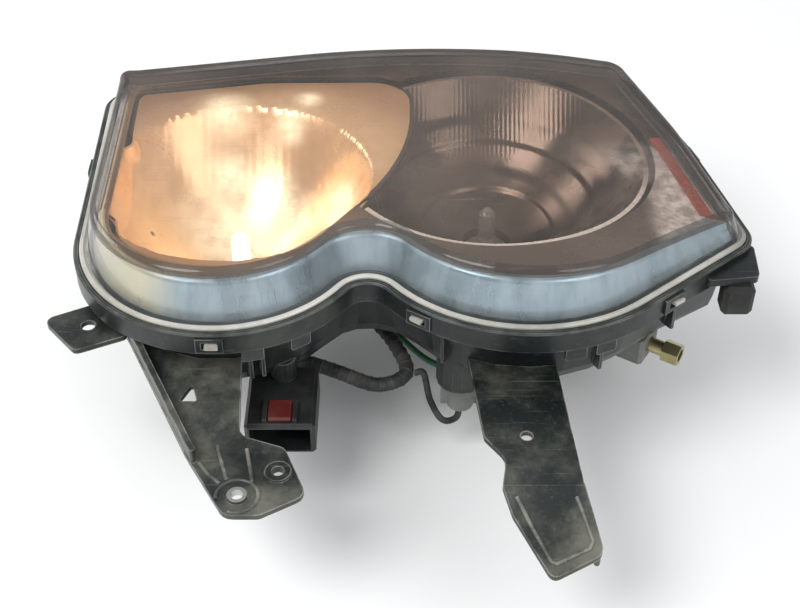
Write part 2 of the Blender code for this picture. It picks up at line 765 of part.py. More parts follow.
def bowl_form(bowl, grow=0.0, raise_rim=0.0):
    """The filled outer form of a bowl, from its neck to its rim."""
    x, y, _ = bowl
    wall = BOWL_WALL + grow
    neck = NECK_BORE + NECK_WALL + grow
    chain = [circle(x, y, neck, z, BOWL_SIDES) for z in (NECK_END_Z - grow, BOWL_VERTEX_Z)]
    chain += [bowl_loop(bowl, share, wall / 2, -wall) for share in BOWL_SHARES]
    chain.append(bowl_loop(bowl, 1.0, BOWL_RIM_WIDTH + grow, -wall))
    chain.append(bowl_loop(bowl, 1.0, BOWL_RIM_WIDTH + grow, raise_rim))
    chain.append((x, y, bowl_height(bowl, 1.0, np.zeros(1), 0.0)[0] + raise_rim + BOWL_RIM_BELOW_FACE))
    return loft("bowl_form", chain)


def bowl_hollow(bowl, steps):
    x, y, radius = bowl
    chain = [circle(x, y, NECK_BORE, 2 * NECK_END_Z, BOWL_SIDES)]
    chain.append(bowl_loop(bowl, NECK_BORE / radius))
    for share in BOWL_SHARES:
        chain.append(bowl_loop(bowl, share))
        if steps and share in BOWL_STEP_SHARES:
            chain.append(bowl_loop(bowl, share + BOWL_STEP / radius, 0.0, BOWL_STEP))
    over = bowl_loop(bowl, 1.0, 0.0, BOWL_RIM_BELOW_FACE)
    chain.append(over)
    chain.append((x, y, over[:, 2].max() + FACE_HEIGHT))
    return loft("bowl_hollow", chain)


def socket_block(x, inward):
    """The block of a pivot socket, reaching inwards to its bowl."""
    half = SOCKET_SIZE / 2
    ends = sorted((-inward * half, inward * (half + SOCKET_SIZE)))
    low = (x + ends[0], PIVOT_Y - half, PIVOT_Z - half)
    high = (x + ends[1], PIVOT_Y + half, PIVOT_Z + half)
    return block("socket", low, high, bevel=SOCKET_BEVEL)


def socket_cut(x, y, z, outward):
    """A round bore along X for the ball, open at the outer end, with a slot behind for its stud."""
    reach = SOCKET_SIZE
    radius = PIVOT_BALL + SOCKET_CLEARANCE
    bore = turned("bore", 0, 0, ((radius, -radius), (radius, reach)))
    place(bore, Matrix.Translation((x, y, z)) @ Matrix.Rotation(math.pi / 2 * outward, 4, "Y"))
    slot_half = STUD_RADIUS + 2 * SOCKET_CLEARANCE
    slot = block("slot", (x - slot_half, y - slot_half, z - reach), (x + slot_half, y + slot_half, z))
    return bore, slot


def make_bowls():
    """Both reflector bowls with their pivot sockets and the push rod's arm. The inner one lies in front."""
    inner = bowl_form(INNER_BOWL)
    inner.name = "inner_bowl"
    join(inner, socket_block(INNER_PIVOT_X, 1))
    cut(inner, bowl_hollow(INNER_BOWL, False), *socket_cut(INNER_PIVOT_X, PIVOT_Y, PIVOT_Z, -1))
    cut(inner, inner_side_slab(BOWL_TRIM_X))
    outer = bowl_form(OUTER_BOWL)
    outer.name = "outer_bowl"
    join(outer, socket_block(OUTER_PIVOT_X, -1), rod_arm())
    cut(outer, bowl_hollow(OUTER_BOWL, True))
    cut(outer, *socket_cut(OUTER_PIVOT_X, PIVOT_Y, PIVOT_Z, 1), *socket_cut(ROD_X, ROD_Y, ROD_BALL_Z, 1))
    boolean(outer, bowl_form(INNER_BOWL, BOWL_APART, FACE_HEIGHT), "DIFFERENCE", "MANIFOLD")
    dress(inner, GOLD_MIRROR)
    dress(outer, DARK_MIRROR)


def rod_arm():
    """The arm from the back of the outer bowl to the push rod's ball."""
    x, y, radius = OUTER_BOWL
    away = math.atan2(ROD_Y - y, ROD_X - x)
    reach = math.hypot(ROD_X - x, ROD_Y - y) - radius * ARM_START
    half = SOCKET_SIZE / 2
    made = block("arm", (-reach, -half, -half), (half, half, half), bevel=SOCKET_BEVEL)
    return place(made, Matrix.Translation((ROD_X, ROD_Y, ROD_BALL_Z)) @ Matrix.Rotation(away, 4, "Z"))


def ball_profile(ball_z, radius, shaft, low):
    """Half outline of a ball on a shaft, from the ball's top down to the shaft's end."""
    points = [(0, ball_z + radius)]
    neck = math.asin(shaft / radius)
    for step in range(1, BALL_STEPS + 1):
        angle = (math.pi - neck) * step / BALL_STEPS
        points.append((radius * math.sin(angle), ball_z + radius * math.cos(angle)))
    points.append((shaft, low))
    return points


def make_pivot_stud(name, x):
    seat = BOSS_END_Z - GAP
    end = seat - STUD_FLANGE_HEIGHT
    profile = ball_profile(PIVOT_Z, PIVOT_BALL, STUD_RADIUS, seat)
    profile += [(STUD_FLANGE, seat), (STUD_FLANGE, end), (0, end)]
    return turned(name, x, PIVOT_Y, profile, STEEL, sides=SMALL_SIDES)


def make_adjuster():
    """The case behind the outer lobe, the plated hex drive that sticks out of it, and the push rod."""
    half = CASE_SIZE / 2
    top = BOSS_END_Z - GAP
    base = Matrix.Translation((ROD_X, ROD_Y, 0)) @ Matrix.Rotation(DRIVE_ANGLE, 4, "Z")
    along_x = Matrix.Translation((0, 0, DRIVE_Z)) @ Matrix.Rotation(math.pi / 2, 4, "Y")
    case = block("adjuster_case", (-half, -half, top - CASE_HEIGHT), (half, half, top), bevel=CASE_BEVEL)
    bore = turned("bore", 0, 0, ((DRIVE_RADIUS + GAP, DRIVE_START - GAP), (DRIVE_RADIUS + GAP, CASE_SIZE)))
    cut(case, place(bore, along_x))
    cut(case, hole(0, 0, ROD_RADIUS + GAP, ROD_END_Z - ROD_RUNOUT, 0.0))
    place(case, base)
    dress(case, GREY_PLASTIC)
    hex_start = DRIVE_REACH - DRIVE_HEX_LENGTH
    shaft = turned("adjuster_drive", 0, 0, ((DRIVE_RADIUS, DRIVE_START), (DRIVE_RADIUS, hex_start + GAP)))
    hexagon = ((DRIVE_HEX_RADIUS, hex_start), (DRIVE_HEX_RADIUS, DRIVE_REACH))
    head = turned("head", 0, 0, hexagon, sides=HEX_SIDES)
    recess_start = DRIVE_REACH - DRIVE_SOCKET_DEPTH
    recess = turned("recess", 0, 0, (
        (DRIVE_SOCKET_RADIUS, recess_start), (DRIVE_SOCKET_RADIUS, DRIVE_REACH + DRIVE_RADIUS),
    ), sides=HEX_SIDES)
    join(shaft, head)
    cut(shaft, recess)
    place(shaft, base @ along_x)
    dress(shaft, ZINC_GOLD)
    rod = ball_profile(ROD_BALL_Z, PIVOT_BALL, ROD_RADIUS, ROD_END_Z) + [(0, ROD_END_Z)]
    turned("adjuster_rod", ROD_X, ROD_Y, rod, STEEL, sides=SMALL_SIDES)


def make_case_stud():
    """The plated stud beside the drive that holds the adjuster case."""
    start = CASE_SIZE / 2 + GAP
    shoulder = start + CASE_STUD_HEAD
    made = turned("case_stud", 0, 0, (
        (CASE_STUD_RADIUS, start), (CASE_STUD_RADIUS, shoulder), (STUD_RADIUS, shoulder),
        (STUD_RADIUS, start + CASE_STUD_LENGTH),
    ), ZINC_GOLD, sides=HEX_SIDES)
    base = Matrix.Translation((ROD_X, ROD_Y, DRIVE_Z)) @ Matrix.Rotation(DRIVE_ANGLE + math.pi / 2, 4, "Z")
    return place(made, base @ Matrix.Rotation(math.pi / 2, 4, "Y"))


def make_main_bulb(side, bowl):
    """Base with its pilot and plug, sealing ring and glass of one main bulb."""
    x, y, _ = bowl
    seat = NECK_END_Z - GAP
    pilot = NECK_BORE - PILOT_CLEARANCE
    groove = pilot - SEAL_SECTION
    top = seat + PILOT_HEIGHT
    middle = (seat + top) / 2
    under = seat - BULB_FLANGE_HEIGHT
    end = under - BULB_BODY_LENGTH
    base = turned(f"{side}_bulb_base", x, y, (
        (pilot, top), (pilot, middle + SEAL_SECTION), (groove, middle + SEAL_SECTION),
        (groove, middle - SEAL_SECTION), (pilot, middle - SEAL_SECTION), (pilot, seat), (BULB_FLANGE, seat),
        (BULB_FLANGE, under), (BULB_BODY_RADIUS, under), (BULB_BODY_RADIUS, end),
    ))
    width, depth, length = PLUG_SIZE
    corner = (x - width / 2, y - depth / 2, end - length)
    join(base, block("plug", corner, (x + width / 2, y + depth / 2, end + GAP), bevel=PLUG_BEVEL))
    dress(base, GREY_PLASTIC)
    ring_in = groove + GAP
    ring_out = pilot + GAP / 3
    ring_top = middle + SEAL_SECTION - GAP
    ring_low = middle - SEAL_SECTION + GAP
    turned(f"{side}_bulb_ring", x, y, (
        (ring_out, ring_top), (ring_out, ring_low), (ring_in, ring_low), (ring_in, ring_top),
    ), RUBBER, ring=True)
    glass_low = top + GAP
    glass_top = glass_low + GLASS_LENGTH
    dome = [(GLASS_RADIUS * across, glass_top - GLASS_RADIUS * down) for across, down in GLASS_DOME]
    profile = [(0, glass_top), *dome, (GLASS_RADIUS, glass_low), (0, glass_low)]
    turned(f"{side}_bulb_glass", x, y, profile, BULB_GLASS, sides=SMALL_SIDES)
    return end - length


def make_boot(side, bowl):
    """The rubber boot that grips the collar and closes round the bulb."""
    x, y, _ = bowl
    grip = COLLAR_RADIUS + GAP
    outer = grip + BOOT_WALL
    top = DRUM_END_Z - GAP
    shoulder = DRUM_END_Z - COLLAR_HEIGHT - GAP
    low = DRUM_END_Z - BOOT_HEIGHT
    turned(f"{side}_boot", x, y, (
        (outer, top), (outer, shoulder - BOOT_WALL), (BOOT_MOUTH + BOOT_WALL, low), (BOOT_MOUTH, low),
        (BOOT_MOUTH, low + BOOT_WALL), (grip - BOOT_WALL, shoulder), (grip, shoulder), (grip, top),
    ), RUBBER, sides=DRUM_SIDES, ring=True)


def make_small_lamp(name, spot):
    """A twist-in socket with its gasket and bulb."""
    x, y = spot
    seat = LAMP_BOSS_END_Z - GAP - LAMP_GASKET - GAP
    bore = LAMP_BORE - PILOT_CLEARANCE
    top = seat + LAMP_PILOT_HEIGHT
    end = seat - LAMP_BODY_LENGTH
    socket = turned(f"{name}_socket", x, y, (
        (bore, top), (bore, seat), (LAMP_FLANGE, seat), (LAMP_FLANGE, seat - BULB_FLANGE_HEIGHT),
        (LAMP_BODY_RADIUS, seat - BULB_FLANGE_HEIGHT), (LAMP_BODY_RADIUS, end),
    ), sides=SMALL_SIDES)
    grip_low = (x - LAMP_FLANGE, y - SEAL_SECTION, end + GAP)
    grip_high = (x + LAMP_FLANGE, y + SEAL_SECTION, seat - GAP)
    join(socket, block("grip", grip_low, grip_high))
    dress(socket, GREY_PLASTIC)
    gasket_top = LAMP_BOSS_END_Z - GAP
    gasket_low = gasket_top - LAMP_GASKET
    turned(f"{name}_gasket", x, y, (
        (LAMP_FLANGE, gasket_top), (LAMP_FLANGE, gasket_low),
        (bore + GAP, gasket_low), (bore + GAP, gasket_top),
    ), RUBBER, ring=True)
    glass = LAMP_GLASS_RADIUS
    dome = [(glass * across, LAMP_GLASS_TOP_Z - glass * down) for across, down in LAMP_GLASS_DOME]
    profile = [(0, LAMP_GLASS_TOP_Z), *dome, (glass, top + GAP), (0, top + GAP)]
    turned(f"{name}_bulb", x, y, profile, BULB_GLASS, sides=SMALL_SIDES)
    return end


def inner_leg_height(x, y):
    share = np.clip(y / INNER_FOOT_START_Y, 0.0, 1.0)
    return INNER_LEG_TOP_Z + (INNER_FOOT_Z - INNER_LEG_TOP_Z) * share


INNER_LEG_CIRCLES = (
    (-0.0900, -0.1090, 0.0085),
    (-0.0775, -0.1110, 0.0065),
    (-0.0595, -0.1000, 0.0070),
    (-0.0690, -0.0740, 0.0060),
    (-0.0840, -0.0560, -0.0070),
    (-0.0960, -0.0050, 0.0030),
    (-0.1640, 0.0150, 0.0040),
    (-0.1120, -0.0760, 0.0060),
)
INNER_LEG_FLANGE = ((-0.1656, 0.0141, 0.0018), (-0.1153, -0.0779, 0.0018))
TAB_CIRCLES = (
    (-0.1880, -0.0110, 0.0040),
    (-0.1640, -0.0010, 0.0030),
    (-0.1700, 0.0290, 0.0030),
    (-0.2045, 0.0095, 0.0050),
)
TRIANGLE_HOLE = ((-0.1255, -0.0390, 0.001), (-0.1180, -0.0390, 0.001), (-0.1205, -0.0310, 0.001))
FOOT_BOSS_RADIUS = 0.0075


def make_inner_leg():
    """The inner leg with its raised edge, its foot with two holes, and the ear with the round hole."""
    creases = (0.0, INNER_FOOT_START_Y)
    leg = plate("inner_leg", INNER_LEG_CIRCLES, inner_leg_height, PLATE, creases=creases)
    edge_top = above(inner_leg_height, INNER_FLANGE_HEIGHT)
    edge_depth = INNER_FLANGE_HEIGHT + PLATE / 2
    join(leg, plate("edge", INNER_LEG_FLANGE, edge_top, edge_depth, creases=creases))
    join(leg, plate("ear", TAB_CIRCLES, level(TAB_Z), PLATE))
    join(leg, hole(*FOOT_BOSS_HOLE, FOOT_BOSS_RADIUS, INNER_FOOT_Z - PLATE / 2, INNER_FOOT_Z + BUSH_RISE))
    low = INNER_FOOT_Z - 2 * PLATE
    cut(leg, hole(*FOOT_BUSH_HOLE, BUSH_RADIUS + GAP, low, 0.0), hole(*FOOT_BOSS_HOLE, BOLT_HOLE, low, 0.0))
    cut(leg, hole(*TAB_HOLE, TAB_HOLE_RADIUS, low, 0.0))
    cut(leg, plate("triangle", TRIANGLE_HOLE, level(0.0), -low))
    cut(leg, housing_form(GAP))
    dress(leg, BLACK_PLASTIC)
    low = INNER_FOOT_Z - PLATE + GAP
    high = INNER_FOOT_Z + BUSH_RISE
    turned("foot_bush", *FOOT_BUSH_HOLE, (
        (BUSH_RADIUS, high), (BUSH_RADIUS, low), (BOLT_HOLE, low), (BOLT_HOLE, high)), STEEL, ring=True)


def outer_leg_height(x, y):
    return OUTER_LEG_Z - OUTER_FOOT_SLOPE * np.maximum(0.0, OUTER_FOOT_START_Y - y)


OUTER_LEG_CIRCLES = (
    (0.0825, -0.1405, 0.0050),
    (0.1030, -0.1320, 0.0050),
    (0.1045, -0.1000, -0.0050),
    (0.0890, 0.0000, 0.0030),
    (0.0430, 0.0000, 0.0030),
    (0.0510, -0.0660, 0.0040),
    (0.0475, -0.0860, -0.0105),
    (0.0590, -0.1030, 0.0035),
    (0.0640, -0.1150, 0.0040),
)
OUTER_LEG_EDGES = (
    ((0.0974, -0.1000, 0.0018), (0.0900, 0.0000, 0.0018)),
    ((0.1058, -0.1320, 0.0018), (0.0974, -0.1000, 0.0018)),
)


def make_outer_leg():
    """The outer leg with its edge notch, sloping foot and the edge turned back along its outer side."""
    creases = (OUTER_FOOT_START_Y,)
    leg = plate("outer_leg", OUTER_LEG_CIRCLES, outer_leg_height, PLATE, creases=creases)
    edge_top = above(outer_leg_height, -PLATE / 4)
    for circles in OUTER_LEG_EDGES:
        join(leg, plate("edge", circles, edge_top, TURNED_EDGE, creases=creases))
    cut(leg, hole(*OUTER_LEG_HOLE, BOLT_HOLE, OUTER_LEG_Z - 2 * PLATE, 0.0))
    cut(leg, housing_form(GAP))
    dress(leg, BLACK_PLASTIC)


BRACKET_CIRCLES = (
    (0.1860, 0.0290, 0.0030),
    (0.2110, 0.0330, 0.0040),
    (0.2125, 0.0560, 0.0040),
    (0.1860, 0.0560, 0.0030),
)
BRACKET_TOP_Z = -0.004
BRACKET_PLATE = 0.005
CAP_LOW = (0.1940, 0.0230, -0.0310)
CAP_HIGH = (0.2130, 0.0390)
CAP_BEVEL = 0.003


def make_side_bracket():
    """The bracket at the outer corner and the cap that hangs under it."""
    bracket = plate("side_bracket", BRACKET_CIRCLES, level(BRACKET_TOP_Z), BRACKET_PLATE)
    cut(bracket, housing_form(GAP))
    dress(bracket, BLACK_PLASTIC)
    top = BRACKET_TOP_Z - BRACKET_PLATE - GAP
    cap = block("bracket_cap", CAP_LOW, (*CAP_HIGH, top), bevel=CAP_BEVEL)
    cut(cap, housing_form(GAP))
    dress(cap, RUBBER)


CONNECTOR_SEAT = (-0.071, 0.006)
VENTS = ((-0.020, 0.196), (0.118, 0.196))
VENT_RADIUS = 0.006
VENT_CAP_RADIUS = 0.0078
VENT_SHOULDER = 0.0063
VENT_HEIGHT = 0.009


def make_vents():
    """Breather caps on the back of the housing."""
    for side, (x, y) in zip(("inner", "outer"), VENTS):
        top = BOSS_END_Z - GAP
        turned(f"{side}_vent_cap", x, y, (
            (VENT_CAP_RADIUS, top), (VENT_CAP_RADIUS, top - VENT_SHOULDER), (VENT_RADIUS, top - VENT_HEIGHT),
        ), RUBBER, sides=SMALL_SIDES)


def make_connector():
    """The connector under the inner lobe, with its mouth towards the legs, and the sliding red lock."""
    x, y, top = CONNECTOR_X, CONNECTOR_Y, CONNECTOR_TOP_Z
    far_x, far_y, low = x + CONNECTOR_WIDTH, y + CONNECTOR_LENGTH, top - CONNECTOR_HEIGHT
    body = block("connector_body", (x, y, low), (far_x, far_y, top), bevel=CONNECTOR_BEVEL)
    wall = CONNECTOR_WALL
    mouth_low = (x + wall, y - wall, low + wall)
    mouth_high = (far_x - wall, y + CONNECTOR_MOUTH_DEPTH, top - wall)
    cut(body, block("mouth", mouth_low, mouth_high))
    lock_width, lock_length, lock_height = LOCK_SIZE
    middle = (x + far_x) / 2
    lock_low = y + LOCK_INSET
    for side in (-1, 1):
        edge = middle + side * (lock_width / 2 + 2 * GAP)
        rail_x = sorted((edge, edge + side * RAIL_WIDTH))
        rail_low = (rail_x[0], lock_low, top - wall / 2)
        rail_high = (rail_x[1], lock_low + lock_length, top + lock_height)
        join(body, block("rail", rail_low, rail_high))
    dress(body, BLACK_PLASTIC)
    lock_corner = (middle - lock_width / 2, lock_low, top + GAP)
    lock_far = (middle + lock_width / 2, lock_low + lock_length, top + GAP + lock_height)
    block("connector_lock", lock_corner, lock_far, LOCK_RED, bevel=LOCK_BEVEL)
    return (middle, far_y, (top + low) / 2)


def smooth_route(points, spacing):
    """Points along a smooth curve through the route's own points."""
    points = [Vector(point) for point in points]
    ends = [2 * points[0] - points[1]] + points + [2 * points[-1] - points[-2]]
    made = []
    for a, b, c, d in zip(ends, ends[1:], ends[2:], ends[3:]):
        steps = max(2, math.ceil((c - b).length / spacing))
        for step in range(steps):
            t = step / steps
            made.append(0.5 * (2 * b + (c - a) * t + (2 * a - 5 * b + 4 * c - d) * t ** 2
                               + (3 * b - a - 3 * c + d) * t ** 3))
    return made + [points[-1]]


def tube(name, points, radius, look):
    """A round wire along a smooth route."""
    route = smooth_route(points, ROUTE_SPACING * radius)
    curve = bpy.data.curves.new(name, "CURVE")
    curve.dimensions = "3D"
    curve.bevel_depth = radius
    curve.bevel_resolution = 1
    curve.use_fill_caps = True
    line = curve.splines.new("POLY")
    line.points.add(len(route) - 1)
    for spot, point in zip(line.points, route):
        spot.co = (*point, 1.0)
    curve.materials.append(look)
    made = bpy.data.objects.new(name, curve)
    bpy.context.scene.collection.objects.link(made)
    made.parent = FRAME


# Routes of the wires, with heights counted from the back of the housing.
TRUNK_ROUTE = (
    (-0.070, 0.022, -0.0085), (-0.060, 0.031, -0.010), (-0.040, 0.025, -0.012), (-0.014, 0.013, -0.012),
    (0.004, 0.024, -0.012), (-0.004, 0.052, -0.012), (-0.018, 0.078, -0.012), (-0.018, 0.098, -0.012),
)
TURN_BRANCH = 4
INNER_WIRE_ROUTE = (
    (-0.026, 0.112, -0.020), (-0.046, 0.114, -0.046), (-0.086, 0.106, -0.070), (-0.103, 0.102, -0.064),
)
OUTER_WIRE_ROUTE = (
    (-0.009, 0.113, -0.020), (0.010, 0.120, -0.046), (0.043, 0.127, -0.068), (0.057, 0.128, -0.064),
)
MARKER_WIRE_ROUTE = (
    (-0.016, 0.105, -0.030), (-0.002, 0.092, -0.041), (0.030, 0.058, -0.040), (0.086, 0.052, -0.032),
    (0.142, 0.092, -0.046), (0.163, 0.107, -0.046),
)
TURN_WIRE_ROUTE = (
    (0.015, 0.024, -0.013), (0.019, 0.018, -0.030), (0.027, 0.014, -0.044), (0.036, 0.017, -0.045),
)


def behind_housing(route):
    return [Vector((x, y, z - HOUSING_BACK_DEPTH)) for x, y, z in route]


def make_harness(exit_point, plug_end, lamp_end):
    """The taped trunk from the connector, and the branch wires to each bulb."""
    x, y, z = exit_point
    trunk = behind_housing(TRUNK_ROUTE)
    tube("harness_trunk", ((x, y + WIRE_GAP, z), *trunk), TRUNK_RADIUS, TAPE_BLACK)
    end = trunk[-1]
    start_y = end.y + WIRE_GAP
    bulb_stop = plug_end - PLUG_DROP
    for name, across, along, route, spot, stop in (
        ("inner_wire", -BRANCH_SPREAD, BRANCH_SPREAD / 2, INNER_WIRE_ROUTE, INNER_BOWL[:2], bulb_stop),
        ("outer_wire", BRANCH_SPREAD, BRANCH_SPREAD / 2, OUTER_WIRE_ROUTE, OUTER_BOWL[:2], bulb_stop),
        ("marker_wire", 0.0, -BRANCH_SPREAD, MARKER_WIRE_ROUTE, MARKER_LAMP, lamp_end - WIRE_GAP),
    ):
        start = (end.x + across, start_y, end.z + along)
        lead = (end.x + across, start_y + 3 * WIRE_RADIUS, end.z + along)
        tube(name, (start, lead, *behind_housing(route), (*spot, stop)), WIRE_RADIUS, TAPE_BLACK)
    branch = trunk[TURN_BRANCH] + Vector((TRUNK_RADIUS + WIRE_GAP, 0, 0))
    turn_route = behind_housing(TURN_WIRE_ROUTE)
    tube("turn_wire", (branch, *turn_route, (*TURN_LAMP, lamp_end - WIRE_GAP)), WIRE_RADIUS, TAPE_BLACK)


def main():
    make_housing()
    make_lens()
    make_lens_seal()
    make_bezel()
    make_side_reflector()
    make_bowls()
    make_pivot_stud("inner_pivot_stud", INNER_PIVOT_X)
    make_pivot_stud("outer_pivot_stud", OUTER_PIVOT_X)
    make_adjuster()
    make_case_stud()
    plug_end = 0.0
    for side, bowl in (("inner", INNER_BOWL), ("outer", OUTER_BOWL)):
        plug_end = make_main_bulb(side, bowl)
        make_boot(side, bowl)
    make_small_lamp("turn", TURN_LAMP)
    lamp_end = make_small_lamp("marker", MARKER_LAMP)
    make_inner_leg()
    make_outer_leg()
    make_side_bracket()
    make_vents()
    exit_point = make_connector()
    make_harness(exit_point, plug_end, lamp_end)


main()
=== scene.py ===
# %% [markdown]
# # Dressing a two-lobed car headlight
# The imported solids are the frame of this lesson: they sit in metres, already in place, and they carry the
# joints. Everything made below is laid over them or gives them a better finish.
# %% Load the frame
import math

import bmesh
import bpy
import numpy as np
from mathutils import Matrix, Vector

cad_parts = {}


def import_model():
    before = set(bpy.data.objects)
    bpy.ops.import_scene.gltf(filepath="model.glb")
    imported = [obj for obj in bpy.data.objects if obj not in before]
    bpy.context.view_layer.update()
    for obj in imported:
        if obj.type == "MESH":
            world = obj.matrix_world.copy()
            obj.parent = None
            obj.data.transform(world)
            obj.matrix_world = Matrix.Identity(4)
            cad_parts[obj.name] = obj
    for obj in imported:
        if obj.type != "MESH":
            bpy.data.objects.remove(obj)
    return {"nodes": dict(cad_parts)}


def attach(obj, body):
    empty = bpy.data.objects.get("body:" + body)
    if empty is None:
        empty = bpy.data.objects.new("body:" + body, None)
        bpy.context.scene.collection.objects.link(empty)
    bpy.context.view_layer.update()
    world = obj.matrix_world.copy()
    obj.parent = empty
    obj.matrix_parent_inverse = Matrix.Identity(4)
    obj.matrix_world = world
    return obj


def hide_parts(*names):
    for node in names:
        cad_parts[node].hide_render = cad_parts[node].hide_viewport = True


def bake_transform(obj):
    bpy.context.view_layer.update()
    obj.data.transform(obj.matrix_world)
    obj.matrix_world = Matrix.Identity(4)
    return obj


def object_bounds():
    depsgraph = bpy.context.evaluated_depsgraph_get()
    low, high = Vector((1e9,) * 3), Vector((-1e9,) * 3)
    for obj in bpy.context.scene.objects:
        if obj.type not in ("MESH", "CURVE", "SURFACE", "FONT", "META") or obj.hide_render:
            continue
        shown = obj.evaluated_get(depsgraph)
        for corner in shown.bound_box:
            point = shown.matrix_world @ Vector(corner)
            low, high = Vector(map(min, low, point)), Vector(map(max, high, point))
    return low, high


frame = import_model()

CAD_LOW, CAD_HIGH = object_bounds()
NODES = frame["nodes"]
print("CAD box in mm:", [round(1000 * side) for side in CAD_HIGH - CAD_LOW], "nodes:", len(NODES))

# %% [markdown]
# ## Camera
# The lamp lies on its back and is seen from the side of its mounting legs, from about 41 degrees above. A
# camera could be aimed at a target by a constraint, but a fixed place and tilt are easier to repeat. Shapes
# below use the lamp's own axes, with the height counted from the plane of the lens lip. SHIFT takes them to
# the frame.
# %% Camera
SHIFT = np.array((0.0780, 0.0930, 0.0515))
CAMERA_PLACE, CAMERA_TILT = (0.0, -0.5887, 0.5117), math.radians(49)
FOCAL_LENGTH, SENSOR_WIDTH = 60.75, 36.0


def placed(name, data):
    """A new object in the scene, for a mesh, a lamp or a camera."""
    made = bpy.data.objects.new(name, data)
    bpy.context.scene.collection.objects.link(made)
    return made


camera = placed("portrait_camera", bpy.data.cameras.new("portrait_camera"))
camera.data.sensor_width = SENSOR_WIDTH
camera.data.lens = FOCAL_LENGTH
camera.location = Vector(CAMERA_PLACE) + Vector(SHIFT)
camera.rotation_euler = (CAMERA_TILT, 0.0, 0.0)
bpy.context.scene.camera = camera
bpy.context.scene.view_settings.view_transform = "Standard"
print("camera at", [round(value, 3) for value in camera.location])

# %% [markdown]
# ## Small helpers for nodes
# A finish is a tree of nodes, and each node has to be added, set and linked. These helpers put the three into
# one call, so that a finish below reads like a recipe: mix two colours by a noise, stretch a value to a
# range, fade a mask along an axis of the lamp.
# %% Node helpers
X, Y = 0, 1


def put(tree, socket, value):
    """Links a socket, or sets a plain value. A colour of three numbers gets its alpha."""
    if isinstance(value, bpy.types.NodeSocket):
        tree.links.new(value, socket)
    elif socket.type == "RGBA" and len(value) == 3:
        socket.default_value = (*value, 1.0)
    else:
        socket.default_value = value


def feed(tree, target, **values):
    """Links or sets several inputs of a node. Underscores in a name stand for spaces."""
    for name, value in values.items():
        put(tree, target.inputs[name.replace("_", " ")], value)


def node(tree, kind, inputs=(), **settings):
    made = tree.nodes.new(kind)
    for name, value in settings.items():
        setattr(made, name, value)
    for key, value in dict(inputs).items():
        put(tree, made.inputs[key], value)
    return made


def mixed(tree, factor, first, second):
    made = node(tree, "ShaderNodeMix", data_type="RGBA")
    for index, value in ((0, factor), (6, first), (7, second)):
        put(tree, made.inputs[index], value)
    return made.outputs[2]


def maths(tree, operation, first, second=0.0, clamp=False):
    made = node(tree, "ShaderNodeMath", {0: first, 1: second}, operation=operation, use_clamp=clamp)
    return made.outputs[0]


def ranged(tree, value, low, high, to_low=0.0, to_high=1.0):
    made = node(tree, "ShaderNodeMapRange", {0: value, 1: low, 2: high, 3: to_low, 4: to_high})
    made.interpolation_type = "SMOOTHSTEP"
    return made.outputs[0]


def here(tree):
    return node(tree, "ShaderNodeTexCoord").outputs["Object"]


def beyond(tree, axis, low, high, to_low=0.0, to_high=1.0):
    """A mask that rises from one place to another along an axis of the lamp."""
    along = node(tree, "ShaderNodeSeparateXYZ", {0: here(tree)}).outputs[axis]
    return ranged(tree, along, SHIFT[axis] + low, SHIFT[axis] + high, to_low, to_high)


def before(tree, axis, low, high):
    """A mask that falls from one place to another along an axis of the lamp."""
    return beyond(tree, axis, low, high, 1.0, 0.0)


def distance_from(tree, spot, where=None):
    made = node(tree, "ShaderNodeVectorMath", {0: where or here(tree), 1: spot}, operation="DISTANCE")
    return made.outputs["Value"]


def noise(tree, scale, detail=4.0, rough=0.55, where=None):
    made = node(tree, "ShaderNodeTexNoise", {"Scale": scale, "Detail": detail, "Roughness": rough})
    put(tree, made.inputs["Vector"], where or here(tree))
    return made.outputs[0]


def bumped(tree, shader, height, strength, distance):
    lift = node(tree, "ShaderNodeBump", {"Strength": strength, "Distance": distance, "Height": height})
    put(tree, shader.inputs["Normal"], lift.outputs[0])


def new_material(name):
    made = bpy.data.materials.new(name)
    made.use_nodes = True
    return made, made.node_tree, made.node_tree.nodes["Principled BSDF"]


print("node helpers ready")

# %% [markdown]
# ## Floor and soft light
# Large soft lamps over each shoulder and behind, with a pale world, light the object at a plain level. The
# floor is a pale sheet with a little mottle, so that it never reads as a flat colour. The world is white
# where the camera sees it, straight or through glass, and dimmer as a light.
# %% Floor
FLOOR_HALF, FLOOR_GAP = 6.0, 0.0006
FLOOR_CORNERS = ((-1, -1), (1, -1), (1, 1), (-1, 1))
floor_look, tree, shader = new_material("pale_floor")
mottle = mixed(tree, noise(tree, 3.0, 6.0), (0.86, 0.86, 0.855), (0.93, 0.93, 0.925))
feed(tree, shader, Base_Color=mottle, Roughness=0.9)
floor_mesh = bpy.data.meshes.new("floor")
floor_z = CAD_LOW.z - FLOOR_GAP
corners = [(FLOOR_HALF * x, FLOOR_HALF * y, floor_z) for x, y in FLOOR_CORNERS]
floor_mesh.from_pydata(corners, [], [(0, 1, 2, 3)])
floor_mesh.materials.append(floor_look)
floor = placed("floor", floor_mesh)
print("floor at", round(floor_z, 4))

# %% Lamps and world
LAMP_TARGET = Vector((0.08, 0.15, 0.0))
WORLD_TINT, WORLD_LIGHT, WORLD_SEEN = (0.97, 0.98, 1.0), 0.62, 1.0


def soft_lamp(name, place, size, power, tint=(1.0, 1.0, 1.0)):
    data = bpy.data.lights.new(name, "AREA")
    data.shape = "DISK"
    data.size = size
    data.energy = power
    data.color = tint
    made = placed(name, data)
    made.location = place
    made.rotation_euler = (LAMP_TARGET - Vector(place)).to_track_quat("-Z", "Y").to_euler()


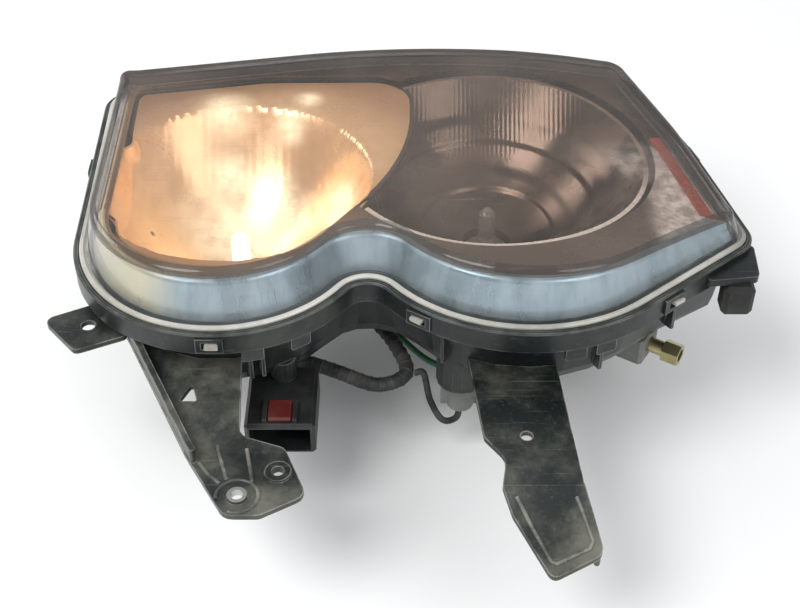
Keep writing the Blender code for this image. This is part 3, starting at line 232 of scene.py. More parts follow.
soft_lamp("key_lamp", (-0.9, -0.7, 1.7), size=1.1, power=26.0)
soft_lamp("fill_lamp", (1.3, -1.0, 1.2), size=1.2, power=13.0, tint=(0.96, 0.98, 1.0))
soft_lamp("back_lamp", (-1.5, 1.3, 1.2), size=1.0, power=16.0)

world = bpy.data.worlds.new("studio")
bpy.context.scene.world = world
world.use_nodes = True
tree = world.node_tree
paths = node(tree, "ShaderNodeLightPath").outputs
seen = maths(tree, "MAXIMUM", paths["Is Camera Ray"], paths["Is Transmission Ray"])
strength = ranged(tree, seen, 0.0, 1.0, WORLD_LIGHT, WORLD_SEEN)
feed(tree, tree.nodes["Background"], Strength=strength, Color=WORLD_TINT)
print("lamps:", len(bpy.data.lights))

# %% [markdown]
# ## Shared finishes
# Used lamps show the same few things all over: fine moulded grain, blotchy colour, pale road dust that lies
# where a surface faces up, edges rubbed pale, and hair-thin scratches. Each is one node group with its own
# inputs, so that every material can ask for more or less of it. The groups read Object coordinates, which
# stay with a piece when its body moves.
# %% Shader groups


def shader_group(name, inputs, outputs):
    """A group with named numbers in and out."""
    tree = bpy.data.node_groups.new(name, "ShaderNodeTree")
    for label, value in inputs.items():
        socket = tree.interface.new_socket(name=label, in_out="INPUT", socket_type="NodeSocketFloat")
        socket.default_value = value
    for label in outputs:
        tree.interface.new_socket(name=label, in_out="OUTPUT", socket_type="NodeSocketFloat")
    return tree, tree.nodes.new("NodeGroupInput").outputs, tree.nodes.new("NodeGroupOutput").inputs


def scaled(tree, value, *factors):
    """A mask times other masks, kept between 0 and 1."""
    for factor in factors[:-1]:
        value = maths(tree, "MULTIPLY", value, factor)
    return maths(tree, "MULTIPLY", value, factors[-1], clamp=True)


GRAIN_INPUTS = {"Grain Scale": 900.0, "Blotch Scale": 22.0}
GRAIN, given, out = shader_group("moulded_grain", GRAIN_INPUTS, ("Height", "Blotch"))
put(GRAIN, out["Height"], noise(GRAIN, given["Grain Scale"], 2.0))
put(GRAIN, out["Blotch"], ranged(GRAIN, noise(GRAIN, given["Blotch Scale"], 6.0, 0.6), 0.32, 0.70))

DUST, given, out = shader_group("road_dust", {"Scale": 30.0, "Amount": 0.5}, ("Dust",))
normal = node(DUST, "ShaderNodeNewGeometry").outputs["Normal"]
up = node(DUST, "ShaderNodeSeparateXYZ", {0: normal}).outputs[2]
patches = ranged(DUST, noise(DUST, given["Scale"], 8.0, 0.65), 0.40, 0.76)
specks = ranged(DUST, noise(DUST, 420.0, 3.0), 0.56, 0.72)
spread = maths(DUST, "ADD", patches, maths(DUST, "MULTIPLY", specks, 0.14), clamp=True)
facing = ranged(DUST, up, -0.55, 0.85, 0.22, 1.0)
put(DUST, out["Dust"], scaled(DUST, spread, facing, given["Amount"]))

WORN, given, out = shader_group("worn_edges", {"Radius": 0.0012, "Amount": 0.6}, ("Edge",))
rounded = node(WORN, "ShaderNodeBevel", {"Radius": given["Radius"]}, samples=4).outputs[0]
flat = node(WORN, "ShaderNodeNewGeometry").outputs["Normal"]
same = node(WORN, "ShaderNodeVectorMath", {0: rounded, 1: flat}, operation="DOT_PRODUCT").outputs["Value"]
edge = ranged(WORN, maths(WORN, "SUBTRACT", 1.0, same), 0.01, 0.12)
rubbed = ranged(WORN, noise(WORN, 60.0, 5.0), 0.35, 0.62, 0.15, 1.0)
put(WORN, out["Edge"], scaled(WORN, edge, rubbed, given["Amount"]))

SCRATCH_TURNS, SCRATCH_STRETCH = (0.5, 1.9, 2.8), (1.0, 34.0, 34.0)
SCRATCH, given, out = shader_group("fine_scratches", {"Scale": 16.0, "Amount": 0.5}, ("Scratch",))
lines = 0.0
for turn in SCRATCH_TURNS:
    turned_space = node(SCRATCH, "ShaderNodeMapping", {
        "Vector": here(SCRATCH), "Rotation": (0.3 * turn, 0.2, turn), "Scale": SCRATCH_STRETCH}).outputs[0]
    line = ranged(SCRATCH, noise(SCRATCH, given["Scale"], 3.0, 0.6, turned_space), 0.66, 0.72)
    lines = maths(SCRATCH, "MAXIMUM", line, lines)
put(SCRATCH, out["Scratch"], scaled(SCRATCH, lines, given["Amount"]))


def effect(tree, group, **values):
    """Places a shared group in a material, with its own values."""
    made = node(tree, "ShaderNodeGroup", node_tree=group)
    feed(tree, made, **values)
    return made.outputs


print("shared finishes:", [group.name for group in (GRAIN, DUST, WORN, SCRATCH)])

# %% [markdown]
# ## Moulded plastics, rubber and tape
# Car plastics are coloured right through, with a fine spark grain. After years on the road they go greenish
# grey with dust, and pale along their edges. One function mixes base, blotch, dust and rubbed edge, and each
# plastic only names its own colours and amounts.
# %% Plastics


def moulded(name, base, blotch, dust, worn, rough, dusty, rubbed,
            bump=0.25, grain=900.0, coarse=22.0, patch=30.0):
    made, tree, shader = new_material(name)
    grained = effect(tree, GRAIN, Grain_Scale=grain, Blotch_Scale=coarse)
    powder = effect(tree, DUST, Scale=patch, Amount=dusty)["Dust"]
    edges = effect(tree, WORN, Amount=rubbed)["Edge"]
    scored = effect(tree, SCRATCH, Amount=0.14)["Scratch"]
    colour = mixed(tree, grained["Blotch"], base, blotch)
    colour = mixed(tree, powder, colour, dust)
    colour = mixed(tree, maths(tree, "MAXIMUM", edges, scored), colour, worn)
    dulled = ranged(tree, powder, 0.0, 0.7, rough, 0.92)
    feed(tree, shader, Base_Color=colour, Roughness=dulled, Specular_IOR_Level=0.35)
    raised = maths(tree, "SUBTRACT", grained["Height"], maths(tree, "MULTIPLY", scored, 0.6))
    bumped(tree, shader, raised, bump, 0.0004)
    return made


HOUSING_PLASTIC = moulded(
    "housing_plastic", (0.006, 0.009, 0.009), (0.013, 0.018, 0.017), (0.190, 0.195, 0.160),
    (0.210, 0.225, 0.205), rough=0.32, dusty=0.34, rubbed=1.0, patch=18.0)
LEG_PLASTIC = moulded(
    "leg_plastic", (0.007, 0.010, 0.010), (0.016, 0.021, 0.020), (0.310, 0.295, 0.235),
    (0.330, 0.330, 0.290), rough=0.30, dusty=0.52, rubbed=1.0, coarse=11.0, patch=15.0)
# Lighter than the legs: a painted highlight along the ribs, crease and edges, with its own dust.
LEG_RIB_HIGHLIGHT = moulded(
    "leg_rib_highlight", (0.030, 0.036, 0.034), (0.060, 0.066, 0.060), (0.330, 0.315, 0.255),
    (0.360, 0.355, 0.310), rough=0.34, dusty=0.60, rubbed=1.0, patch=60.0)
CONNECTOR_PLASTIC = moulded(
    "connector_plastic", (0.010, 0.011, 0.012), (0.020, 0.020, 0.020), (0.120, 0.110, 0.095),
    (0.080, 0.080, 0.080), rough=0.38, dusty=0.25, rubbed=0.5)
GREY_PLASTIC = moulded(
    "socket_plastic", (0.120, 0.122, 0.118), (0.165, 0.165, 0.155), (0.330, 0.310, 0.270),
    (0.300, 0.300, 0.290), rough=0.48, dusty=0.35, rubbed=0.5)
RUBBER = moulded(
    "boot_rubber", (0.012, 0.012, 0.012), (0.026, 0.025, 0.023), (0.190, 0.180, 0.150),
    (0.060, 0.060, 0.058), rough=0.70, dusty=0.40, rubbed=0.3, bump=0.4, grain=600.0)
TAPE = moulded(
    "cloth_tape", (0.013, 0.013, 0.014), (0.030, 0.030, 0.031), (0.230, 0.220, 0.200),
    (0.140, 0.140, 0.140), rough=0.62, dusty=0.45, rubbed=0.6, bump=0.6, grain=1500.0, coarse=60.0)
LOCK_RED = moulded(
    "lock_red", (0.060, 0.005, 0.005), (0.095, 0.009, 0.008), (0.140, 0.085, 0.065),
    (0.300, 0.090, 0.070), rough=0.45, dusty=0.30, rubbed=0.5)
GREEN_WIRE = moulded(
    "green_wire", (0.020, 0.120, 0.045), (0.030, 0.170, 0.065), (0.230, 0.230, 0.180),
    (0.180, 0.260, 0.180), rough=0.45, dusty=0.25, rubbed=0.3)
print("plastics made:", len(bpy.data.materials) - 1)

# %% [markdown]
# ## Metals and glass
# The drive is zinc plated with a yellow passivation, the bush and ball studs are plain steel. Plating shows
# as a slow drift of colour with fine scratches, so the colour runs between two tones by noise and the
# scratches roughen it. Bulb glass is see-through with a trace of smoke, and the lit bulb glows.
# %% Metals


def plated(name, first, second, rough):
    made, tree, shader = new_material(name)
    drift = ranged(tree, noise(tree, 40.0, 5.0), 0.3, 0.7)
    marks = effect(tree, SCRATCH, Scale=28.0, Amount=0.5)["Scratch"]
    grime = effect(tree, DUST, Scale=70.0, Amount=0.35)["Dust"]
    colour = mixed(tree, grime, mixed(tree, drift, first, second), (0.20, 0.17, 0.12))
    dulled = ranged(tree, maths(tree, "MAXIMUM", marks, grime), 0.0, 1.0, rough, 0.75)
    feed(tree, shader, Base_Color=colour, Metallic=1.0, Roughness=dulled)
    bumped(tree, shader, marks, 0.2, 0.0002)
    return made


PLATED_GOLD = plated("plated_gold", (0.36, 0.31, 0.14), (0.50, 0.45, 0.25), rough=0.36)
STEEL = plated("plain_steel", (0.40, 0.40, 0.39), (0.52, 0.51, 0.49), rough=0.32)
print("metals:", PLATED_GOLD.name, STEEL.name)

# %% Bulb glass


def glass(name, tint, glow=None):
    made, tree, shader = new_material(name)
    smoke = ranged(tree, noise(tree, 120.0, 4.0), 0.35, 0.7)
    colour = mixed(tree, smoke, tint, tuple(0.85 * value for value in tint))
    smeared = ranged(tree, smoke, 0.0, 1.0, 0.02, 0.10)
    feed(tree, shader, Base_Color=colour, Roughness=smeared, Transmission_Weight=0.9, IOR=1.45)
    if glow:
        feed(tree, shader, Emission_Color=mixed(tree, smoke, glow, (1.0, 0.72, 0.36)), Emission_Strength=3.0)
    return made


LIT_GLASS = glass("lit_bulb_glass", (1.0, 0.93, 0.80), (1.0, 0.88, 0.62))
CLEAR_GLASS = glass("clear_bulb_glass", (0.95, 0.95, 0.93))
print("glass:", LIT_GLASS.name, CLEAR_GLASS.name)

# %% [markdown]
# ## The outline that everything follows
# Seen from the front, the lens is two round lobes that meet in a valley, with a swept outer corner and a
# slightly crowned top. It is drawn as a belt round eight circles; the valley circle is on the outside of the
# belt, so the belt bends inwards there. The solids use the same circles in coarser steps.
# %% Belt round circles
ARC_STEP, ARC_TURN, LINE_STEP = 0.003, 0.12, 0.006
STRAIGHT_BEND, TINY = 100.0, 1e-5


def belt(circles):
    """Points, outward directions and bend radii of a closed outline round circles, anticlockwise."""
    count = len(circles)
    leaving = []
    for index, (x, y, radius) in enumerate(circles):
        nx, ny, next_radius = circles[(index + 1) % count]
        lean = math.acos(max(-1.0, min(1.0, (radius - next_radius) / math.hypot(nx - x, ny - y))))
        leaving.append(math.atan2(ny - y, nx - x) - lean)
    rows = []
    for index, (x, y, radius) in enumerate(circles):
        start = leaving[index - 1]
        turn = (leaving[index] - start) % math.tau - (math.tau if radius < 0 else 0.0)
        if math.tau - abs(turn) < TINY:
            turn = 0.0
        bend = radius if radius > 0 else STRAIGHT_BEND
        steps = max(2, math.ceil(abs(turn * radius) / ARC_STEP), math.ceil(abs(turn) / ARC_TURN))
        for angle in start + turn * np.arange(steps + 1) / steps:
            out = np.array((math.cos(angle), math.sin(angle)))
            rows.append((*(np.array((x, y)) + radius * out), *out, bend))
        nx, ny, next_radius = circles[(index + 1) % count]
        out = np.array(rows[-1][2:4])
        near, far = np.array(rows[-1][:2]), np.array((nx, ny)) + next_radius * out
        pieces = max(1, math.ceil(np.linalg.norm(far - near) / LINE_STEP))
        for share in np.arange(1, pieces) / pieces:
            rows.append((*(near + (far - near) * share), *out, STRAIGHT_BEND))
    rows = np.array(rows)
    apart = np.linalg.norm(rows[:, :2] - np.roll(rows[:, :2], 1, axis=0), axis=1)
    rows = rows[apart > TINY]
    return rows[:, :2], rows[:, 2:4], rows[:, 4]


def around(count):
    """The angles of a full turn, in equal steps."""
    return np.arange(count) * math.tau / count


def ringed(middle, reach, angles):
    """Points round a middle, at one reach or at a reach for each angle."""
    return np.array(middle) + np.reshape(reach, (-1, 1)) * np.column_stack((np.cos(angles), np.sin(angles)))


print("belt steps in mm:", 1000 * ARC_STEP, "on arcs and", 1000 * LINE_STEP, "on straight stretches")

# %% Outline of the lens
# Each circle is x, y and radius.
INNER_LOBE, OUTER_LOBE, VALLEY = (-0.107, 0.064, 0.0835), (0.0762, 0.0813, 0.0999), 0.0232
OUTER_TIP, OUTER_SIDE, OUTER_CORNER = (0.195, 0.064, 0.012), (-0.054, 0.083, 0.250), (0.142, 0.221, 0.020)
TOP_CROWN, INNER_CORNER = (0.025, -0.248, 0.500), (-0.184, 0.208, 0.012)
MIDDLE = np.array((0.0, 0.105))


def valley_circle():
    """The circle that touches both lobes from below. Its radius counts as negative."""
    (ax, ay, a), (bx, by, b) = INNER_LOBE, OUTER_LOBE
    span = math.hypot(bx - ax, by - ay)
    along = ((a + VALLEY) ** 2 - (b + VALLEY) ** 2 + span ** 2) / (2 * span)
    below = math.sqrt((a + VALLEY) ** 2 - along ** 2)
    ux, uy = (bx - ax) / span, (by - ay) / span
    return (ax + along * ux + below * uy, ay + along * uy - below * ux, -VALLEY)


OUTLINE, NORMALS, BENDS = belt((
    INNER_LOBE, valley_circle(), OUTER_LOBE, OUTER_TIP, OUTER_SIDE, OUTER_CORNER, TOP_CROWN, INNER_CORNER,
))
print("outline points:", len(OUTLINE))

# %% [markdown]
# ## Loops on the outline
# Lens, bezel and flange are stacks of loops: the outline moved in or out, at a height. The lens face is raked
# and falls away towards the outer corner, so a height can be a number or a formula of x and y.
# %% Loops
FACE_HEIGHT, FACE_RAKE, FACE_SWEEP, SWEEP_START = 0.0355, 0.04, 0.75, 0.070


def moved(offset):
    """The outline moved outward, or inward without a fold where it bends tightly."""
    if offset >= 0:
        return OUTLINE + offset * NORMALS
    return OUTLINE + (BENDS * np.tanh(offset / BENDS))[:, None] * NORMALS


def face_height(x, y):
    return FACE_HEIGHT - FACE_RAKE * y - FACE_SWEEP * np.maximum(0.0, x - SWEEP_START) ** 2


def under_face(depth):
    return lambda x, y: face_height(x, y) - depth


def set_at(plan, height):
    z = height(plan[:, 0], plan[:, 1]) if callable(height) else np.full(len(plan), height)
    return np.column_stack((plan, z))


def rim(offset, height):
    return set_at(moved(offset), height)


def drawn_in(offset, share, height):
    return set_at(MIDDLE + share * (moved(offset) - MIDDLE), height)


print("face height at the middle in mm:", round(1000 * face_height(*MIDDLE), 1))

# %% [markdown]
# ## From loops to a piece
# A moulding that follows an outline can be lofted: each loop is joined to the next by a strip of faces. Doing
# this in bmesh keeps control of which strip gets which finish. Normals are made to point outward, and each
# piece is then put on its body.
# %% Making a mesh from loops


def shaped(name, made, looks, sharp=30):
    """A piece from a bmesh in the lamp's own axes. Its place goes into its mesh."""
    bmesh.ops.remove_doubles(made, verts=made.verts, dist=1e-6)
    bmesh.ops.recalc_face_normals(made, faces=made.faces)
    if made.calc_volume(signed=True) < 0:
        bmesh.ops.reverse_faces(made, faces=made.faces)
    mesh = bpy.data.meshes.new(name)
    made.to_mesh(mesh)
    made.free()
    mesh.transform(Matrix.Translation(SHIFT))
    for look in looks:
        mesh.materials.append(look)
    mesh.shade_smooth()
    mesh.set_sharp_from_angle(angle=math.radians(sharp))
    return placed(name, mesh)


def skinned(chain, slots=(), closed=False):
    """A bmesh over loops of equal length. A single point closes an end."""
    made = bmesh.new()
    rows = [[made.verts.new(point) for point in np.atleast_2d(np.asarray(loop, float))] for loop in chain]
    pairs = list(zip(rows, rows[1:] + rows[:1] if closed else rows[1:]))
    for index, (first, second) in enumerate(pairs):
        count = max(len(first), len(second))
        for i in range(count):
            j = (i + 1) % count
            ring = [loop[k % len(loop)] for loop, k in ((first, i), (first, j), (second, j), (second, i))]
            face = made.faces.new(list(dict.fromkeys(ring)))
            face.material_index = slots[index] if slots else 0
    if not closed:
        for end in (rows[0], rows[-1]):
            if len(end) > 2:
                made.faces.new(end)
    return made


def dressed(piece, body, slot, *nodes):
    """Puts a finished piece on its body and hides the CAD nodes that it stands for. The slot is not used."""
    if body:
        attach(piece, body)
    if nodes:
        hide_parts(*nodes)
    return piece


print("mesh helpers ready")

# %% [markdown]
# ## The lens
# The real lens is one clear polycarbonate moulding: a raked front, a rounded edge, a drafted side wall and a
# lip that lands on the housing. It is lofted over loops of the outline. It is thin and nearly even, so the
# see-through finish mixes a faint tint with mirror reflection that grows towards grazing view, and lays a
# veil of haze and fine scratches on top. The reflection comes from Layer Weight, which treats both faces of
# the wall alike, where a Fresnel node would turn the inner face into a full mirror.
# %% Lens finish
HAZE_SPOT, HAZE_CORE, HAZE_REACH = np.array((0.143, 0.106, 0.020)) + SHIFT, 0.004, 0.030
# Where the lens wall turns dark brown and nearly opaque: the top, and the outer side from a height on.
DARK_WALL_TOP, DARK_WALL_OUTER, DARK_WALL_FROM = (0.185, 0.205), (0.150, 0.165), (0.075, 0.090)
DARK_WALL_COLOUR = (0.060, 0.040, 0.030)


def hazy_spot(tree):
    """A crazed patch near the outer corner."""
    near = ranged(tree, distance_from(tree, HAZE_SPOT), HAZE_CORE, HAZE_REACH, 1.0, 0.0)
    return maths(tree, "MULTIPLY", near, ranged(tree, noise(tree, 70.0, 6.0), 0.3, 0.7))


def darkened_side(tree):
    """The top and the outer side, where the wall is darker and denser."""
    outer = maths(tree, "MULTIPLY", beyond(tree, X, *DARK_WALL_OUTER), beyond(tree, Y, *DARK_WALL_FROM))
    return maths(tree, "MAXIMUM", beyond(tree, Y, *DARK_WALL_TOP), outer)


def clear_plastic(name, tint, veil_colour, veil_low, veil_high, spot=0.0, darkened=False):
    made, tree, shader = new_material(name)
    cloudy = noise(tree, 9.0, 6.0, 0.6)
    scored = effect(tree, SCRATCH, Scale=11.0, Amount=0.30)["Scratch"]
    haze = ranged(tree, cloudy, 0.35, 0.75, veil_low, veil_high)
    veil = maths(tree, "ADD", haze, maths(tree, "MULTIPLY", scored, 0.25))
    if spot:
        veil = maths(tree, "ADD", veil, maths(tree, "MULTIPLY", hazy_spot(tree), spot), clamp=True)
    colour = mixed(tree, cloudy, veil_colour, tuple(0.8 * v for v in veil_colour))
    if darkened:
        far_side = darkened_side(tree)
        colour = mixed(tree, far_side, colour, DARK_WALL_COLOUR)
        dense = maths(tree, "MULTIPLY", far_side, ranged(tree, cloudy, 0.3, 0.7, 0.82, 0.95))
        veil = maths(tree, "MAXIMUM", veil, dense)
    feed(tree, shader, Base_Color=colour, Roughness=ranged(tree, scored, 0.0, 0.3, 0.35, 0.6))
    see_through = node(tree, "ShaderNodeBsdfTransparent", {"Color": tint}).outputs[0]
    mirror = node(tree, "ShaderNodeBsdfGlossy", {"Roughness": 0.03})
    bumped(tree, mirror, noise(tree, 45.0, 2.0), 0.05, 0.0005)
    grazing = node(tree, "ShaderNodeLayerWeight", {"Blend": 0.5}).outputs["Facing"]
    edge_on = maths(tree, "ADD", maths(tree, "POWER", grazing, 5.0), 0.03, clamp=True)
    clear = node(tree, "ShaderNodeMixShader", {0: edge_on, 1: see_through, 2: mirror.outputs[0]})
    whole = node(tree, "ShaderNodeMixShader", {0: veil, 1: clear.outputs[0], 2: shader.outputs[0]})
    feed(tree, tree.nodes["Material Output"], Surface=whole.outputs[0])
    return made


LENS_LOOKS = (
    clear_plastic("lens_front", (0.94, 0.90, 0.87), (0.50, 0.42, 0.36), 0.020, 0.105, spot=0.60),
    clear_plastic("lens_wall", (0.95, 0.97, 0.98), (0.62, 0.66, 0.68), 0.02, 0.12, darkened=True),
    clear_plastic("lens_lip", (0.90, 0.88, 0.82), (0.80, 0.78, 0.71), 0.22, 0.88),
    clear_plastic("lens_edge", (0.42, 0.40, 0.38), (0.30, 0.28, 0.26), 0.10, 0.30, darkened=True),
)
FRONT, SIDE, LIP, EDGE = range(len(LENS_LOOKS))
print("lens finishes:", [look.name for look in LENS_LOOKS])

# %% Lens shape
WALL, DRAFT, FILLET = 0.0028, 0.005, 0.005
LIP_WIDTH, LIP_HEIGHT, TONGUE, GAP = 0.0045, 0.0028, 0.006, 0.0003
LIP_BULGE, LIP_BULGE_SHARE, LIP_EASE = 0.0003, 0.6, 0.0006
SHARES = (0.25, 0.5, 0.75, 0.92)
ROUNDING = np.radians(range(0, 105, 15))


def face_middle(depth):
    return set_at(MIDDLE[None, :], under_face(depth))


def rounded_edge(top_offset, depth, fillet):
    """Loops round an edge, from the side wall over to the face."""
    sunk = [(fillet * (1 - math.cos(a)), fillet * (1 - math.sin(a))) for a in ROUNDING]
    return [rim(top_offset - across, under_face(depth + down)) for across, down in sunk]


inside_top = -DRAFT - WALL
inside = [face_middle(WALL)] + [drawn_in(inside_top - FILLET, share, under_face(WALL)) for share in SHARES]
inside += [rim(inside_top - FILLET, under_face(WALL)), rim(inside_top, under_face(WALL + FILLET))]
inside += [rim(-WALL, LIP_HEIGHT), rim(-WALL, -TONGUE)]
lip = [rim(0.0, -TONGUE), rim(0.0, GAP), rim(LIP_WIDTH, GAP)]
lip += [rim(LIP_WIDTH + LIP_BULGE, LIP_HEIGHT * LIP_BULGE_SHARE), rim(LIP_WIDTH - LIP_EASE, LIP_HEIGHT)]
lip += [rim(LIP_WIDTH / 2, LIP_HEIGHT), rim(LIP_EASE, LIP_HEIGHT + GAP)]
edge_loops = rounded_edge(-DRAFT, 0.0, FILLET)
outside = [drawn_in(-DRAFT - FILLET, share, under_face(0.0)) for share in reversed(SHARES)]
outside += [face_middle(0.0)]
chain = inside + lip + edge_loops + outside
slots = [FRONT] * (len(SHARES) + 1) + [SIDE] * 3 + [LIP] * (len(lip) - 1) + [SIDE] * 2
slots += [EDGE] * (len(edge_loops) - 1) + [FRONT] * len(outside)
lens = shaped("lens_cap", skinned(chain, slots), LENS_LOOKS)
dressed(lens, "housing", "clear_lens", "lens")
print("lens faces:", len(lens.data.polygons), "slots:", len(slots), "loops:", len(chain))

# %% [markdown]
# ## Reflector bowls
# Each bowl is a paraboloid that would be moulded and then vacuum plated. The inner one lies in front and ends
# in a rounded square that covers part of the outer one; its lamp is lit, so the plating glows gold. The outer
# one is unlit and shows its cut: fine upright flutes at the top and in the lower part, and stepped ledges
# between them. Both are spun as polar grids whose height is a formula, which is easy to follow and lets the
# flutes be real relief instead of a painted pattern.
# %% Spinning a bowl
INNER_BOWL, OUTER_BOWL = (-0.104, 0.101, 0.087), (0.058, 0.128, 0.098)
BOWL_LOW, RIM_DEPTH, RIM_WIDTH, RIM_START, BOWL_WALL = -0.058, 0.014, 0.003, 0.97, 0.0022
NECK_BORE, NECK_WALL, NECK_END = 0.0165, 0.004, -0.074
BACK_DROP, BACK_STEP = 1.6 * BOWL_WALL, 6


def smooth(value, low, high):
    share = np.clip((value - low) / (high - low), 0.0, 1.0)
    return share * share * (3 - 2 * share)


def spun_bowl(name, bowl, reach, relief, rings, looks):
    """A plated bowl as a polar grid from neck to rim, with a wall behind. Its rim has the second look."""
    middle, radius = bowl[:2], bowl[2]
    angles = around(len(reach))
    circle_top = face_height(*ringed(middle, radius, angles).T) - RIM_DEPTH
    outer_neck = NECK_BORE + NECK_WALL

    def at(distance, drop=0.0):
        plan = ringed(middle, distance, angles)
        dish = BOWL_LOW + (circle_top - BOWL_LOW) * np.minimum(distance / radius, 1.0) ** 2
        z = np.where(distance > radius, face_height(*plan.T) - RIM_DEPTH, dish)
        return np.column_stack((plan, relief(*plan.T, distance / radius, z) - drop))

    shares = np.linspace(0.0, 1.0, rings)
    grid = [at(NECK_BORE + share * (reach - NECK_BORE)) for share in shares]
    top = grid[-1].copy()
    top[:, :2] += ringed((0.0, 0.0), RIM_WIDTH * smooth(reach, radius * RIM_START, radius), angles)
    low_rim = top - (0.0, 0.0, BOWL_WALL)
    back = [at(outer_neck + share * (reach - outer_neck), BACK_DROP) for share in shares[::-BACK_STEP]]
    ends = [set_at(ringed(middle, bore, angles), NECK_END) for bore in (outer_neck, NECK_BORE)]
    chain = grid + [top, low_rim] + back + ends
    slots = [0] * (len(grid) - 1) + [1] * 2 + [0] * (len(back) + len(ends) + 1)
    return shaped(name, skinned(chain, slots, closed=True), looks, 40)


print("bowl radii in mm:", round(1000 * INNER_BOWL[2]), round(1000 * OUTER_BOWL[2]))

# %% [markdown]
# ## Plating of the bowls
# Aluminium under clear varnish takes its colour from what it mirrors. A path tracer would need a real
# filament and many samples to show the lit bowl, so its glow is written down instead: soft round spots where
# the lamp and its mirror images lie, added up in one group. The dark bowl is a mottled dark brown, a painted
# reflection, and its rim has a painted highlight in the lower half.
# %% Glow of the lit bowl
GLOW_SPOTS = (
    (-0.108, 0.132, -0.049, 0.054), (-0.085, 0.152, -0.030, 0.024), (-0.035, 0.109, -0.011, 0.024),
    (-0.118, 0.186, 0.012, 0.026), (-0.115, 0.162, -0.022, 0.020), (-0.074, 0.176, 0.004, 0.018),
    (-0.062, 0.196, 0.012, 0.014), (-0.0875, 0.1289, -0.0479, 0.032), (-0.0667, 0.1256, -0.0386, 0.030),
    (-0.0424, 0.1163, -0.0182, 0.026),
)
GLOW, given, out = shader_group("lamp_glow", {"Spread": 1.0}, ("Glow",))
total = 0.0
for *centre, radius in GLOW_SPOTS:
    away = maths(GLOW, "DIVIDE", distance_from(GLOW, np.array(centre) + SHIFT), given["Spread"])
    total = maths(GLOW, "ADD", ranged(GLOW, away, 0.0, radius, 1.0, 0.0), total)
streaked = ranged(GLOW, noise(GLOW, 85.0, 5.0, 0.6), 0.30, 0.62, 0.50, 1.0)
put(GLOW, out["Glow"], scaled(GLOW, total, streaked))
print("glow spots:", len(GLOW_SPOTS))

# %% Lit gold plating
BRIGHT_MIDDLE, BRIGHT_REACH = (SHIFT[0] - 0.088, SHIFT[1] + 0.120, 0.0), (0.060, 0.118)
LIT_GOLD, tree, shader = new_material("lit_gold_mirror")
glow = effect(tree, GLOW)["Glow"]
cloud = ranged(tree, noise(tree, 16.0, 6.0, 0.6), 0.3, 0.72)
flat = node(tree, "ShaderNodeVectorMath", {0: here(tree), 1: (1.0, 1.0, 0.0)}, operation="MULTIPLY")
# Painted light: the gold and its glow fade to darker brown away from the middle of the lit bowl.
lamp_falloff = ranged(tree, distance_from(tree, BRIGHT_MIDDLE, flat.outputs[0]), *BRIGHT_REACH)
gold = mixed(tree, cloud, (0.60, 0.43, 0.27), (0.78, 0.60, 0.41))
gold = mixed(tree, lamp_falloff, gold, (0.36, 0.235, 0.150))
warm = mixed(tree, cloud, (0.270, 0.158, 0.075), (0.400, 0.268, 0.152))
warm = mixed(tree, lamp_falloff, warm, (0.185, 0.100, 0.050))
warm = mixed(tree, glow, warm, (1.0, 0.90, 0.64))
feed(tree, shader, Base_Color=gold, Metallic=1.0, Roughness=ranged(tree, cloud, 0.0, 1.0, 0.22, 0.42))
feed(tree, shader, Emission_Color=warm, Emission_Strength=1.3)
print("plating:", LIT_GOLD.name)

# %% Dark plating with painted reflection, and rim with painted highlight
# Painted reflection: the plating is a mottled dark brown, standing for what the unlit mirror reflects.
BROWN_CHROME, tree, shader = new_material("brown_chrome")
reflection_mottle = ranged(tree, noise(tree, 18.0, 6.0, 0.6), 0.3, 0.7)
film = effect(tree, SCRATCH, Scale=20.0, Amount=0.4)["Scratch"]
colour = mixed(tree, reflection_mottle, (0.086, 0.067, 0.057), (0.146, 0.117, 0.099))
colour = mixed(tree, film, colour, (0.24, 0.205, 0.18))
feed(tree, shader, Base_Color=colour, Metallic=1.0, Roughness=ranged(tree, reflection_mottle, 0.0, 1.0, 0.16, 0.34))

# Painted highlight: the rim is near white in its lower half and dark brown above.
RIM_HIGHLIGHT, tree, shader = new_material("rim_highlight")
bright = mixed(tree, noise(tree, 40.0, 5.0), (0.78, 0.76, 0.73), (0.94, 0.92, 0.89))
colour = mixed(tree, before(tree, Y, 0.085, 0.120), (0.20, 0.15, 0.12), bright)
rough = ranged(tree, noise(tree, 160.0, 3.0), 0.3, 0.7, 0.18, 0.4)
feed(tree, shader, Base_Color=colour, Metallic=0.3, Roughness=rough)
print("plating:", BROWN_CHROME.name, RIM_HIGHLIGHT.name)

# %% [markdown]
# ## Room to tilt
# Both bowls tilt when the beam is aimed, and the bezel round them stays put. So the lit bowl ends short of
# the bezel wherever the tilt swings it, and only near the tilt axis, where it hardly moves, does it reach
# under. Where a bowl ends is found by shooting rays from its middle at the outlines that bound it.
# %% Edge of the lit bowl
BEZEL_OFFSET, BEZEL_WALL, BEZEL_DEPTH, FACE_STRIP = -0.0038, 0.0016, 0.010, 0.0006
TILT_ROOM, TILT_AXIS_Y, UNDERLAP, UNDERLAP_FADE = 0.0036, 0.100, 0.0056, (0.046, 0.034)
LIT_STEPS = 360
INNER_SHAPE, INNER_OUT, _ = belt((
    (-0.1070, 0.0810, 0.0735), (-0.180, 0.178, 0.1865), (-0.020, 0.193, 0.0265), (-0.070, -0.231, 0.450),
    (-0.157, 0.191, 0.021),
))


def ray_reach(shape, x, y, angles, pick=np.min, missing=np.inf):
    """How far a closed outline lies from x, y along each angle, at its nearest or farthest crossing."""
    first, second = shape - (x, y), np.roll(shape, -1, axis=0) - (x, y)
    reach = []
    for angle in angles:
        ahead = np.array((math.cos(angle), math.sin(angle)))
        across = np.array((-ahead[1], ahead[0]))
        a, b = first @ across, second @ across
        crossing = (a > 0) != (b > 0)
        share = a[crossing] / (a[crossing] - b[crossing])
        found = (first[crossing] + share[:, None] * (second - first)[crossing]) @ ahead
        found = found[found > 0]
        reach.append(pick(found) if len(found) else missing)
    return np.array(reach)


